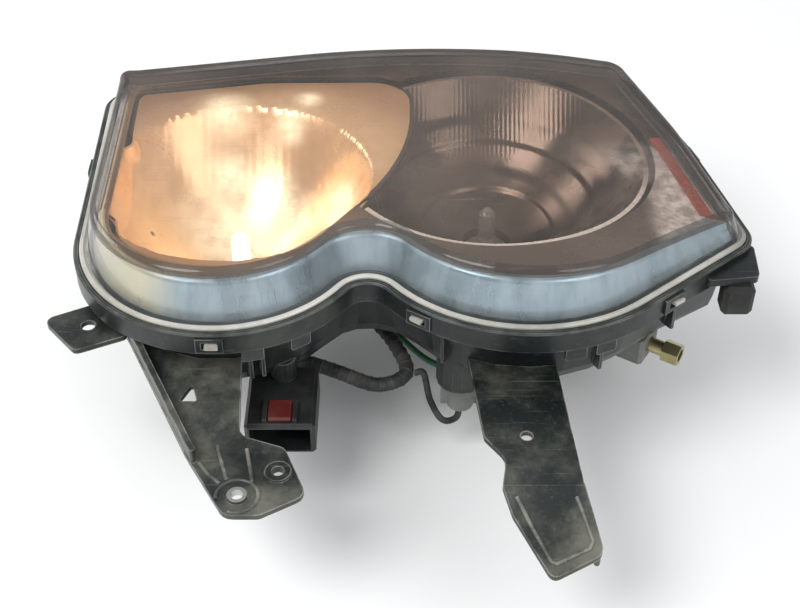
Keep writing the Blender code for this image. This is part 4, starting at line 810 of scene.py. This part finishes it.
low_in = BEZEL_OFFSET - DRAFT - BEZEL_WALL
lit_angles = around(LIT_STEPS)
limit = ray_reach(moved(low_in - FILLET - FACE_STRIP), *INNER_BOWL[:2], lit_angles)
from_axis = np.abs(INNER_BOWL[1] + limit * np.sin(lit_angles) - TILT_AXIS_Y)
limit += UNDERLAP * smooth(-from_axis, -UNDERLAP_FADE[0], -UNDERLAP_FADE[1]) - TILT_ROOM
lit_reach = np.minimum(ray_reach(INNER_SHAPE, *INNER_BOWL[:2], lit_angles), limit)
print("lit bowl reaches in mm:", round(1000 * lit_reach.min()), "to", round(1000 * lit_reach.max()))

# %% [markdown]
# ## Relief of the bowls
# The moulding tool of a bowl is cut with flutes, ledges and walls that spread the beam. Each is a small term
# added to the height of the plain bowl. The outer bowl dips where the lit one lies over it.
# %% Both bowls
RIPPLE, RIPPLE_PITCH, RIPPLE_FROM = 0.00007, 0.006, (0.55, 0.75)
WALL_DROP, WALL_SHARE = 0.0016, (0.955, 0.990)
FLUTE, FLUTE_PITCH = 0.00032, 0.0031
FLUTED_TOP, FLUTED_LOW, FLUTED_FROM = (0.188, 0.194), (0.118, 0.112), (0.18, 0.22)
LEDGES = ((0.0012, 0.44, 0.46, 0.52, 0.60), (0.0014, 0.70, 0.72, 0.78, 0.86))
COVER_EDGE, COVER_DROP, BOWL_APART = 0.0015, 0.006, 0.0008
LIT_RINGS, DARK_RINGS, DARK_STEPS = 48, 90, 560


def lit_edge(x, y):
    """How far out a point lies in the lit bowl, and how far its edge is that way."""
    across, up = x - INNER_BOWL[0], y - INNER_BOWL[1]
    return np.hypot(across, up), np.interp(np.arctan2(up, across), lit_angles, lit_reach, period=math.tau)


def lit_relief(x, y, share, z):
    """A faint ripple, and a wall up to the rim where the bezel cuts the bowl short."""
    rippled = z + RIPPLE * np.sin(x * math.tau / RIPPLE_PITCH) * smooth(share, *RIPPLE_FROM)
    out, edge = lit_edge(x, y)
    rise = np.maximum(face_height(x, y) - RIM_DEPTH - WALL_DROP - rippled, 0.0)
    return rippled + smooth(out / edge, *WALL_SHARE) * rise


def fluted_relief(x, y, share, z):
    """Flutes at the top and in the lower part, ledges between, and a drop where the lit bowl covers it."""
    wave = FLUTE * np.abs(np.sin(x * math.pi / FLUTE_PITCH))
    top = smooth(y, *FLUTED_TOP)
    lower = smooth(-y, -FLUTED_LOW[0], -FLUTED_LOW[1]) * smooth(share, *FLUTED_FROM)
    ledges = sum(rise * (smooth(share, a, b) - smooth(share, c, d)) for rise, a, b, c, d in LEDGES)
    cut = z + wave * np.maximum(top, lower) + ledges * (1 - lower)
    out, edge = lit_edge(x, y)
    dropped = np.minimum(cut, face_height(x, y) - RIM_DEPTH - COVER_DROP)
    return np.where(out < edge + COVER_EDGE, dropped, cut)


looks = [LIT_GOLD, BROWN_CHROME]
inner_bowl = spun_bowl("lit_bowl", INNER_BOWL, lit_reach, lit_relief, LIT_RINGS, looks)
dressed(inner_bowl, "reflectors", "lit_mirror", "inner_bowl")
behind = ringed(INNER_BOWL[:2], INNER_BOWL[2] + RIM_WIDTH + BOWL_APART, lit_angles)
dark_reach = np.minimum(OUTER_BOWL[2], ray_reach(behind, *OUTER_BOWL[:2], around(DARK_STEPS)))
looks = [BROWN_CHROME, RIM_HIGHLIGHT]
outer_bowl = spun_bowl("fluted_bowl", OUTER_BOWL, dark_reach, fluted_relief, DARK_RINGS, looks)
dressed(outer_bowl, "reflectors", "dark_mirror", "outer_bowl")
print("bowl faces:", len(inner_bowl.data.polygons), len(outer_bowl.data.polygons))

# %% [markdown]
# ## The bezel
# A plated surround fills the space between the bowls and the lens wall. Its upright band is silver with a
# cool cast and turns cream on the inner side. Its face is a mottled dark brown, a painted reflection, and its
# lower part has painted light, warm where the lit lamp shines on it. The band and face are lofted like the
# lens.
# The opening is the outline of both bowls together, found by shooting a ray from the middle along each
# direction, so no Boolean is needed.
# %% Bezel finishes
BEZEL_BAND, tree, shader = new_material("bezel_band")
stretched = node(tree, "ShaderNodeMapping", {"Vector": here(tree), "Scale": (1.0, 1.0, 0.12)}).outputs[0]
streak = ranged(tree, noise(tree, 60.0, 5.0, 0.6, stretched), 0.3, 0.7)
silver = mixed(tree, streak, (0.25, 0.31, 0.34), (0.48, 0.55, 0.59))
colour = mixed(tree, before(tree, X, -0.150, -0.120), silver, (0.74, 0.64, 0.44))
feed(tree, shader, Base_Color=colour, Metallic=0.75, Roughness=ranged(tree, streak, 0.0, 1.0, 0.26, 0.44))

BEZEL_FACE, tree, shader = new_material("bezel_face")
# Painted reflection: the face's mottled dark brown stands for what its plating reflects.
reflection_mottle = ranged(tree, noise(tree, 24.0, 6.0, 0.6), 0.3, 0.7)
crinkle = ranged(tree, noise(tree, 120.0, 6.0, 0.65), 0.35, 0.65)
corner = maths(tree, "MULTIPLY", beyond(tree, X, 0.146, 0.160), before(tree, Y, 0.132, 0.146))
inner_edge = before(tree, X, -0.182, -0.168)
# Painted light: the lower part of the face is lighter, warm towards the lit lamp and grey beyond it.
reflected = mixed(tree, before(tree, X, -0.040, 0.0), (0.210, 0.180, 0.160), (0.420, 0.285, 0.165))
pale = mixed(tree, crinkle, (0.36, 0.34, 0.33), (0.80, 0.79, 0.77))
colour = mixed(tree, reflection_mottle, (0.085, 0.052, 0.036), (0.150, 0.098, 0.070))
colour = mixed(tree, before(tree, Y, 0.030, 0.080), colour, reflected)
colour = mixed(tree, inner_edge, colour, (0.300, 0.195, 0.130))
colour = mixed(tree, corner, colour, pale)
bare = ranged(tree, maths(tree, "MAXIMUM", corner, inner_edge), 0.0, 1.0, 0.85, 0.15)
feed(tree, shader, Base_Color=colour, Metallic=bare, Roughness=ranged(tree, reflection_mottle, 0.0, 1.0, 0.24, 0.42))
bumped(tree, shader, maths(tree, "MULTIPLY", crinkle, corner), 0.5, 0.001)
print("bezel finishes:", BEZEL_BAND.name, BEZEL_FACE.name)

# %% Bezel shape
SWING, SWING_SIDE, RING_GAP, RING_STEPS = 0.0035, 0.0020, 0.004, 180
BAND, FACE = 0, 1
outer_ring = ringed(OUTER_BOWL[:2], OUTER_BOWL[2] + RIM_WIDTH + RING_GAP, around(RING_STEPS))
swing = SWING_SIDE + (SWING - SWING_SIDE) * np.abs(INNER_OUT[:, 1:])
bounds = (INNER_SHAPE + swing * INNER_OUT, outer_ring)
away = moved(low_in - FILLET) - MIDDLE
width = np.linalg.norm(away, axis=1)
angles = np.arctan2(away[:, 1], away[:, 0])
reached = np.maximum(*[ray_reach(shape, *MIDDLE, angles, np.max, 0.0) for shape in bounds])
opening = MIDDLE + away * (np.minimum(reached, width - FACE_STRIP) / width)[:, None]
below = under_face(BEZEL_DEPTH + BEZEL_WALL)
chain = [set_at(opening, below), rim(low_in - FILLET, below)]
chain += [rim(low_in, under_face(BEZEL_DEPTH + BEZEL_WALL + FILLET)), rim(BEZEL_OFFSET - BEZEL_WALL, GAP)]
chain += [rim(BEZEL_OFFSET, GAP), *rounded_edge(BEZEL_OFFSET - DRAFT, BEZEL_DEPTH, FILLET)]
chain += [set_at(opening, under_face(BEZEL_DEPTH))]
slots = [FACE] * 2 + [BAND] * (len(chain) - 4) + [FACE] * 2
bezel = shaped("bezel_surround", skinned(chain, slots, closed=True), [BEZEL_BAND, BEZEL_FACE])
dressed(bezel, "housing", "bezel_silver", "bezel")
print("bezel faces:", len(bezel.data.polygons))

# %% [markdown]
# ## The flange
# The housing ends in a flange that the lens lip lands on. The solid has it in coarse steps; a thin smooth
# skin over it gives the long curved line that catches the light. Its top edge is a touch rounded, as a
# moulding is.
# %% Flange skin
FLANGE, FLANGE_DEPTH, LIP_CLEAR = 0.0075, 0.0135, 0.0012
SKIN, SKIN_SUNK, SKIN_EASE = 0.0011, 0.0004, 0.0008
SKIN_LOW, SKIN_TOP, SKIN_SHOULDER = 0.0002, 0.0007, -0.0002
flange_loops = [rim(*spot) for spot in (
    (LIP_WIDTH + LIP_CLEAR, SKIN_LOW), (LIP_WIDTH + LIP_CLEAR, SKIN_TOP),
    (FLANGE + SKIN - SKIN_EASE, SKIN_TOP), (FLANGE + SKIN, SKIN_SHOULDER),
    (FLANGE + SKIN, -FLANGE_DEPTH), (FLANGE + SKIN - SKIN_EASE, -FLANGE_DEPTH - SKIN_EASE),
    (FLANGE - SKIN_SUNK, -FLANGE_DEPTH - SKIN_EASE), (FLANGE - SKIN_SUNK, SKIN_LOW),
)]
flange = shaped("flange_skin", skinned(flange_loops, closed=True), [HOUSING_PLASTIC])
dressed(flange, "housing", "black_plastic")
print("flange faces:", len(flange.data.polygons))

# %% [markdown]
# ## Wires
# A taped trunk runs from the connector under the inner lobe and splits to the bulbs. Each wire is a round
# tube swept along the route that the solids follow. The wires to the two main bulbs are left off the housing
# body, because those bulbs tilt when the beam is aimed.
# %% Wire routes
BACK, ROUTE_STEPS, WIRE_SIDES = -0.066, 8, 14
TRUNK_RADIUS, WIRE_RADIUS = 0.0045, 0.0021
FIRST_SIDE = Vector((0.3, 0.2, 0.9))
TILTING = ("inner_wire", "outer_wire")
TRUNK = (
    (-0.071, 0.0146, -0.008), (-0.070, 0.022, -0.0085), (-0.060, 0.031, -0.010), (-0.040, 0.025, -0.012),
    (-0.014, 0.013, -0.012), (0.004, 0.024, -0.012), (-0.004, 0.052, -0.012), (-0.018, 0.078, -0.012),
    (-0.018, 0.098, -0.012))
ROUTES = {
    "inner_wire": (
        (-0.0206, 0.0986, -0.0107), (-0.0206, 0.1049, -0.0107), (-0.026, 0.112, -0.020),
        (-0.046, 0.114, -0.046), (-0.086, 0.106, -0.070), (-0.103, 0.102, -0.064), (-0.104, 0.101, -0.0483)),
    "outer_wire": (
        (-0.0154, 0.0986, -0.0107), (-0.0154, 0.1049, -0.0107), (-0.009, 0.113, -0.020),
        (0.010, 0.120, -0.046), (0.043, 0.127, -0.068), (0.057, 0.128, -0.064), (0.058, 0.128, -0.0483)),
    "marker_wire": (
        (-0.018, 0.0986, -0.0146), (-0.018, 0.1049, -0.0146), (-0.016, 0.105, -0.030),
        (-0.002, 0.092, -0.041), (0.030, 0.058, -0.040), (0.086, 0.052, -0.032), (0.142, 0.092, -0.046),
        (0.163, 0.107, -0.046), (0.165, 0.108, -0.0328)),
    "turn_wire": (
        (0.0091, 0.024, -0.012), (0.015, 0.024, -0.013), (0.019, 0.018, -0.030), (0.027, 0.014, -0.044),
        (0.036, 0.017, -0.045), (0.038, 0.018, -0.0328)),
}
print("routes:", 1 + len(ROUTES))

# %% Tubes along the routes


def smooth_route(points):
    """A curve through all points of a route, with even steps between them."""
    points = [Vector(point) + Vector((0, 0, BACK)) for point in points]
    ends = [2 * points[0] - points[1], *points, 2 * points[-1] - points[-2]]
    route = []
    for a, b, c, d in zip(ends, ends[1:], ends[2:], ends[3:]):
        for t in np.arange(ROUTE_STEPS) / ROUTE_STEPS:
            route.append(0.5 * (2 * b + (c - a) * t + (2 * a - 5 * b + 4 * c - d) * t ** 2
                                + (3 * b - a - 3 * c + d) * t ** 3))
    return route + [points[-1]]


def wire(name, solid, points, radius, look, body):
    """A round tube along a route, in place of a solid wire."""
    route = smooth_route(points)
    side = FIRST_SIDE
    loops = []
    for index, spot in enumerate(route):
        ahead = (route[min(index + 1, len(route) - 1)] - route[max(index - 1, 0)]).normalized()
        side = (side - ahead * side.dot(ahead)).normalized()
        other = ahead.cross(side)
        turns = around(WIRE_SIDES)
        loops.append([spot + radius * (math.cos(a) * side + math.sin(a) * other) for a in turns])
    piece = shaped(name, skinned(loops), [look], 60)
    path = [spot + Vector(SHIFT) for spot in route]
    dressed(piece, body, "tape_black", solid)
    return piece, path


wire("harness_tape", "harness_trunk", TRUNK, TRUNK_RADIUS, TAPE, "housing")
for solid, points in ROUTES.items():
    name, body = solid.replace("wire", "lead"), None if solid in TILTING else "housing"
    look = GREEN_WIRE if solid == "marker_wire" else TAPE
    lead, path = wire(name, solid, points, WIRE_RADIUS, look, body)
    if solid in TILTING:
        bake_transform(lead)

# %% [markdown]
# ## Side reflector strip
# A red strip lies on the bezel along the outer side, where a car seen from the side has to show red. It is
# moulded with small cells that throw light back, so its finish is cell-shaped and a little rough. The strip
# is swept along the outline with a low four-sided section.
# %% Side strip
STRIP_OUT, STRIP_IN, STRIP_RISE, STRIP_SUNK, STRIP_EASE = -0.0150, -0.0235, 0.0013, 0.0003, 0.0006
STRIP_BEYOND_X, STRIP_LOW_Y, STRIP_HIGH_Y = 0.15, 0.060, 0.156
SIDE_RED, tree, shader = new_material("side_red")
cells = node(tree, "ShaderNodeTexVoronoi", {"Vector": here(tree), "Scale": 420.0}).outputs["Distance"]
colour = mixed(tree, ranged(tree, cells, 0.1, 0.6), (0.44, 0.065, 0.032), (0.24, 0.028, 0.016))
feed(tree, shader, Base_Color=colour, Roughness=ranged(tree, cells, 0.0, 0.7, 0.15, 0.35))
bumped(tree, shader, cells, 0.6, 0.0006)


def between(low_y, high_y, on_side):
    """Which points of the outline lie on one side, from a low to a high y."""
    return np.flatnonzero(on_side & (OUTLINE[:, 1] > low_y) & (OUTLINE[:, 1] < high_y))


foot, crown = under_face(BEZEL_DEPTH + STRIP_SUNK), under_face(BEZEL_DEPTH - STRIP_RISE)
edges = [rim(STRIP_OUT, foot), rim(STRIP_OUT - STRIP_EASE, crown),
         rim(STRIP_IN + STRIP_EASE, crown), rim(STRIP_IN, foot)]
stretch = between(STRIP_LOW_Y, STRIP_HIGH_Y, OUTLINE[:, 0] > STRIP_BEYOND_X)
sections = [[edge[index] for edge in edges] for index in stretch]
strip = shaped("side_strip", skinned(sections), [SIDE_RED])
dressed(strip, "housing", "side_red", "side_reflector")
print("strip sections:", len(sections))

# %% [markdown]
# ## What repeats: Geometry Nodes
# Hooks, ribs, tabs, tape laps, boot rings and ridges come from three small node trees. Copies placed by hand
# would do, but a tree takes its sizes as named inputs and can be run again on other points. Each tree ends in
# real geometry with its finish set, and its result is turned into a plain mesh on the housing.
# %% Geometry Nodes helpers


def growing_tree(name, inputs):
    """A tree with geometry in and out, and a named number for each size."""
    tree = bpy.data.node_groups.new(name, "GeometryNodeTree")
    tree.interface.new_socket("Geometry", in_out="OUTPUT", socket_type="NodeSocketGeometry")
    tree.interface.new_socket("Geometry", in_out="INPUT", socket_type="NodeSocketGeometry")
    for label in inputs:
        tree.interface.new_socket(label, in_out="INPUT", socket_type="NodeSocketFloat")
    tree.interface.new_socket("Material", in_out="INPUT", socket_type="NodeSocketMaterial")
    return tree, node(tree, "NodeGroupInput").outputs


def geo(tree, kind, inputs, **settings):
    """A geometry node's first output."""
    return node(tree, "GeometryNode" + kind, inputs, **settings).outputs[0]


def ended(tree, given, instances):
    """Every tree ends the same way: real geometry, then its finish."""
    solid = geo(tree, "RealizeInstances", {0: instances})
    dyed = geo(tree, "SetMaterial", {"Geometry": solid, "Material": given["Material"]})
    put(tree, node(tree, "NodeGroupOutput").inputs[0], dyed)


def grown(name, source, tree, look, slot, **sizes):
    """Runs a tree on a source mesh and keeps the result as a plain piece of the housing."""
    carrier = placed(name, source)
    modifier = carrier.modifiers.new("grow", "NODES")
    modifier.node_group = tree
    sizes["Material"] = look
    for item in tree.interface.items_tree:
        if item.in_out == "INPUT" and item.name in sizes:
            modifier[item.identifier] = sizes[item.name]
    bpy.context.view_layer.update()
    graph = bpy.context.evaluated_depsgraph_get()
    mesh = bpy.data.meshes.new_from_object(carrier.evaluated_get(graph), depsgraph=graph)
    carrier.modifiers.remove(modifier)
    carrier.data = mesh
    mesh.name = name
    clean = bmesh.new()
    clean.from_mesh(mesh)
    bmesh.ops.recalc_face_normals(clean, faces=clean.faces)
    clean.to_mesh(mesh)
    clean.free()
    mesh.shade_smooth()
    mesh.set_sharp_from_angle(angle=math.radians(35))
    print(name, "faces:", len(mesh.polygons))
    dressed(carrier, "housing", slot)


def points_mesh(name, points, turns=None, chained=False):
    """Loose points for blocks, each with its turn, or a chain of points for a path."""
    mesh = bpy.data.meshes.new(name)
    links = [(i, i + 1) for i in range(len(points) - 1)] if chained else []
    mesh.from_pydata([tuple(np.array(point) + SHIFT) for point in points], links, [])
    if turns is not None:
        mesh.attributes.new("turn", "FLOAT", "POINT").data.foreach_set("value", turns)
    return mesh


print("tree helpers ready")

# %% [markdown]
# ## Rounded blocks
# Clear hooks hold the lens on the flange, small ribs stand on the bezel band under the inner lobe, and tabs
# stiffen the wall below the flange. All are small rounded blocks, so one tree fillets a rectangle, gives it
# depth and stands it on every point of a mesh, turned to face outward.
# %% Tree of blocks
BLOCKS, given = growing_tree("rounded_blocks", ("Width", "Height", "Depth", "Round", "Lean"))
square = geo(BLOCKS, "CurvePrimitiveQuadrilateral", {key: given[key] for key in ("Width", "Height")})
eased = geo(BLOCKS, "FilletCurve", {"Curve": square, "Radius": given["Round"], "Count": 4}, mode="POLY")
filled = geo(BLOCKS, "FillCurve", {"Curve": eased}, mode="NGONS")
raised = geo(BLOCKS, "ExtrudeMesh", {"Mesh": filled, "Offset Scale": given["Depth"], "Individual": False})
both = node(BLOCKS, "GeometryNodeJoinGeometry")
for part in (filled, raised):
    BLOCKS.links.new(part, both.inputs[0])
block = geo(BLOCKS, "MergeByDistance", {"Geometry": both.outputs[0], "Distance": 1e-6})
turn = geo(BLOCKS, "InputNamedAttribute", {"Name": "turn"}, data_type="FLOAT")
upright = node(BLOCKS, "ShaderNodeCombineXYZ", {
    0: maths(BLOCKS, "ADD", given["Lean"], math.pi / 2), 2: maths(BLOCKS, "ADD", turn, math.pi / 2)})
ended(BLOCKS, given, geo(BLOCKS, "InstanceOnPoints", {
    "Points": given["Geometry"], "Instance": block, "Rotation": upright.outputs[0]}))
print("tree:", BLOCKS.name)

# %% Hooks, ribs and tabs
HOOK_SPOTS = (
    (-0.108, -0.022), (0.016, 0.002), (0.160, 0.010), (0.180, 0.150), (0.060, 0.245), (-0.120, 0.235),
    (-0.199, 0.140))
HOOK_OFFSET, HOOK_HEIGHT = 0.0088, -0.0065
TAB_SPOTS = ((-0.085, -0.018), (-0.060, -0.008), (0.100, -0.018), (0.118, -0.012))
TAB_OFFSET, TAB_HEIGHT = 0.0055, -0.0175
GATE_TURNS = np.radians(range(-77, -59, 3))
GATE_INSET, GATE_HEIGHT, GATE_LEAN = 0.0062, 0.0085, math.radians(-13.7)


def on_edge(name, spots, offset, height):
    """Points on the outline nearest to the spots, moved out, with the way each one faces."""
    nearest = [int(np.argmin(np.linalg.norm(OUTLINE - np.array(spot), axis=1))) for spot in spots]
    out = NORMALS[nearest]
    points = set_at(OUTLINE[nearest] + offset * out, height)
    return points_mesh(name, points, np.arctan2(out[:, 1], out[:, 0]))


grown("lens_hooks", on_edge("hook_points", HOOK_SPOTS, HOOK_OFFSET, HOOK_HEIGHT), BLOCKS, LENS_LOOKS[LIP],
      "clear_lens", Width=0.0078, Height=0.0026, Depth=0.0032, Round=0.0006)
gate_points = set_at(ringed(INNER_LOBE[:2], INNER_LOBE[2] - GATE_INSET, GATE_TURNS), GATE_HEIGHT)
grown("gate_ribs", points_mesh("rib_points", gate_points, GATE_TURNS), BLOCKS, BEZEL_BAND,
      "bezel_silver", Width=0.0012, Height=0.0110, Depth=0.0009, Round=0.0003, Lean=GATE_LEAN)
grown("flange_tabs", on_edge("tab_points", TAB_SPOTS, TAB_OFFSET, TAB_HEIGHT), BLOCKS, HOUSING_PLASTIC,
      "black_plastic", Width=0.0130, Height=0.0090, Depth=0.0024, Round=0.0016)

# %% [markdown]
# ## Rings on a path
# Cloth tape is lapped round a harness and leaves a low step at each turn, and a rubber boot is moulded with
# rings so that it can flex. A second tree strings such rings along a path at an even spacing.
# %% Tape laps and boot rings
LAP_SPACING, LAP_BEAD = 0.0065, 0.0004
BOOT_LOW, BOOT_HIGH = -0.0965, -0.0880
RINGS, given = growing_tree("path_rings", ("Spacing", "Reach", "Bead"))
path = geo(RINGS, "MeshToCurve", {"Mesh": given["Geometry"]})
spacing = {"Curve": path, "Length": given["Spacing"]}
stops = node(RINGS, "GeometryNodeCurveToPoints", spacing, mode="LENGTH").outputs
hoop = geo(RINGS, "CurvePrimitiveCircle", {"Resolution": 40, "Radius": given["Reach"]})
bead = geo(RINGS, "CurvePrimitiveCircle", {"Resolution": 8, "Radius": given["Bead"]})
hoop = geo(RINGS, "CurveToMesh", {"Curve": hoop, "Profile Curve": bead})
ended(RINGS, given, geo(RINGS, "InstanceOnPoints", {
    "Points": stops["Points"], "Instance": hoop, "Rotation": stops["Rotation"]}))

grown("tape_laps", points_mesh("lap_path", smooth_route(TRUNK), chained=True), RINGS, TAPE,
      "tape_black", Spacing=LAP_SPACING, Reach=TRUNK_RADIUS, Bead=LAP_BEAD)
for side, bowl in (("inner", INNER_BOWL), ("outer", OUTER_BOWL)):
    climb = [(*bowl[:2], z) for z in (BOOT_LOW, BOOT_HIGH)]
    grown(side + "_boot_rings", points_mesh(side + "_climb", climb, chained=True), RINGS, RUBBER,
          "black_rubber", Spacing=0.0034, Reach=0.0465, Bead=0.0010)

# %% [markdown]
# ## Ridges along a line
# Two thin ridges run beside the lit bowl. The inner leg carries three stiffening ribs and a ring round its
# foot, and the outer leg a raised border. A third tree sweeps a round bead along a line, partly sunk in the
# surface, which is a quick way to a soft moulded rib.
# %% Ridges beside the lit bowl
RIDGE_LINES, RIDGE_BEAD = ((-0.0102, 0.0114), (-0.0136, 0.0101)), 0.0010
RIDGE_BEFORE_X, RIDGE_LOW_Y, RIDGE_HIGH_Y = -0.15, 0.060, 0.200
RIDGES, given = growing_tree("swept_ridges", ("Bead",))
path = geo(RIDGES, "MeshToCurve", {"Mesh": given["Geometry"]})
bead = geo(RIDGES, "CurvePrimitiveCircle", {"Resolution": 10, "Radius": given["Bead"]})
ended(RIDGES, given, geo(RIDGES, "CurveToMesh", {"Curve": path, "Profile Curve": bead, "Fill Caps": True}))

stretch = between(RIDGE_LOW_Y, RIDGE_HIGH_Y, OUTLINE[:, 0] < RIDGE_BEFORE_X)
for number, (offset, depth) in enumerate(RIDGE_LINES, 1):
    line = points_mesh("ridge_path", rim(offset, under_face(depth))[stretch], chained=True)
    grown(f"inner_ridge_{number}", line, RIDGES, BEZEL_FACE, "bezel_silver", Bead=RIDGE_BEAD)

# %% Ribs of the legs
LEG_FACE, LEG_BEAD = -0.0480, 0.0011
FOLD_Y, FOLD_Z, FOLD_SLOPE = -0.1091, -0.0435, 0.577
FOOT, FOOT_RING, FOOT_TURNS = (-0.0886, -0.1040), 0.0116, np.radians(range(-110, 200, 10))
BORDER = np.array((
    (0.0628, -0.1085), (0.0700, -0.1220), (0.0800, -0.1385), (0.0830, -0.1396), (0.1010, -0.1326),
    (0.1028, -0.1290), (0.0985, -0.1170), (0.0950, -0.1085)))
LEG_LINES = {
    "foot_rib_1": ((-0.1118, -0.0800, LEG_FACE), (-0.1060, -0.0880, LEG_FACE), (-0.0990, -0.0952, LEG_FACE)),
    "foot_rib_2": ((-0.1027, -0.0679, -0.0468), (-0.1010, -0.0740, LEG_FACE), (-0.0951, -0.0925, LEG_FACE)),
    "foot_rib_3": ((-0.0861, -0.0700, -0.0474), (-0.0850, -0.0745, LEG_FACE), (-0.0810, -0.0940, LEG_FACE)),
    "foot_ring": set_at(ringed(FOOT, FOOT_RING, FOOT_TURNS), LEG_FACE),
    "leg_border": set_at(BORDER, lambda x, y: FOLD_Z + FOLD_SLOPE * (y - FOLD_Y)),
}
# The leg ridges take the lighter rib finish, a painted highlight along the crease and edges.
for name, line in LEG_LINES.items():
    path = points_mesh(name + "_path", line, chained=True)
    grown(name, path, RIDGES, LEG_RIB_HIGHLIGHT, "black_plastic", Bead=LEG_BEAD)

# %% [markdown]
# ## Finishes of the carried-over solids
# The remaining solids already have the right shape. Each gets the finish that its real piece has.
# %% Materials on the CAD nodes
FINISHES = {
    HOUSING_PLASTIC: ("housing", "side_bracket"),
    LEG_PLASTIC: ("inner_leg", "outer_leg"),
    CONNECTOR_PLASTIC: ("connector_body",),
    GREY_PLASTIC: ("adjuster_case", "inner_bulb_base", "outer_bulb_base", "marker_socket", "turn_socket"),
    RUBBER: ("lens_seal", "inner_boot", "outer_boot", "bracket_cap", "marker_gasket", "turn_gasket",
             "inner_vent_cap", "outer_vent_cap", "inner_bulb_ring", "outer_bulb_ring"),
    PLATED_GOLD: ("adjuster_drive", "case_stud"),
    STEEL: ("adjuster_rod", "foot_bush", "inner_pivot_stud", "outer_pivot_stud"),
    LOCK_RED: ("connector_lock",),
    LIT_GLASS: ("inner_bulb_glass",),
    CLEAR_GLASS: ("outer_bulb_glass", "marker_bulb", "turn_bulb"),
}
for look, names in FINISHES.items():
    for name in names:
        NODES[name].data.materials.clear()
        NODES[name].data.materials.append(look)
print("finished solids:", sum(len(names) for names in FINISHES.values()))
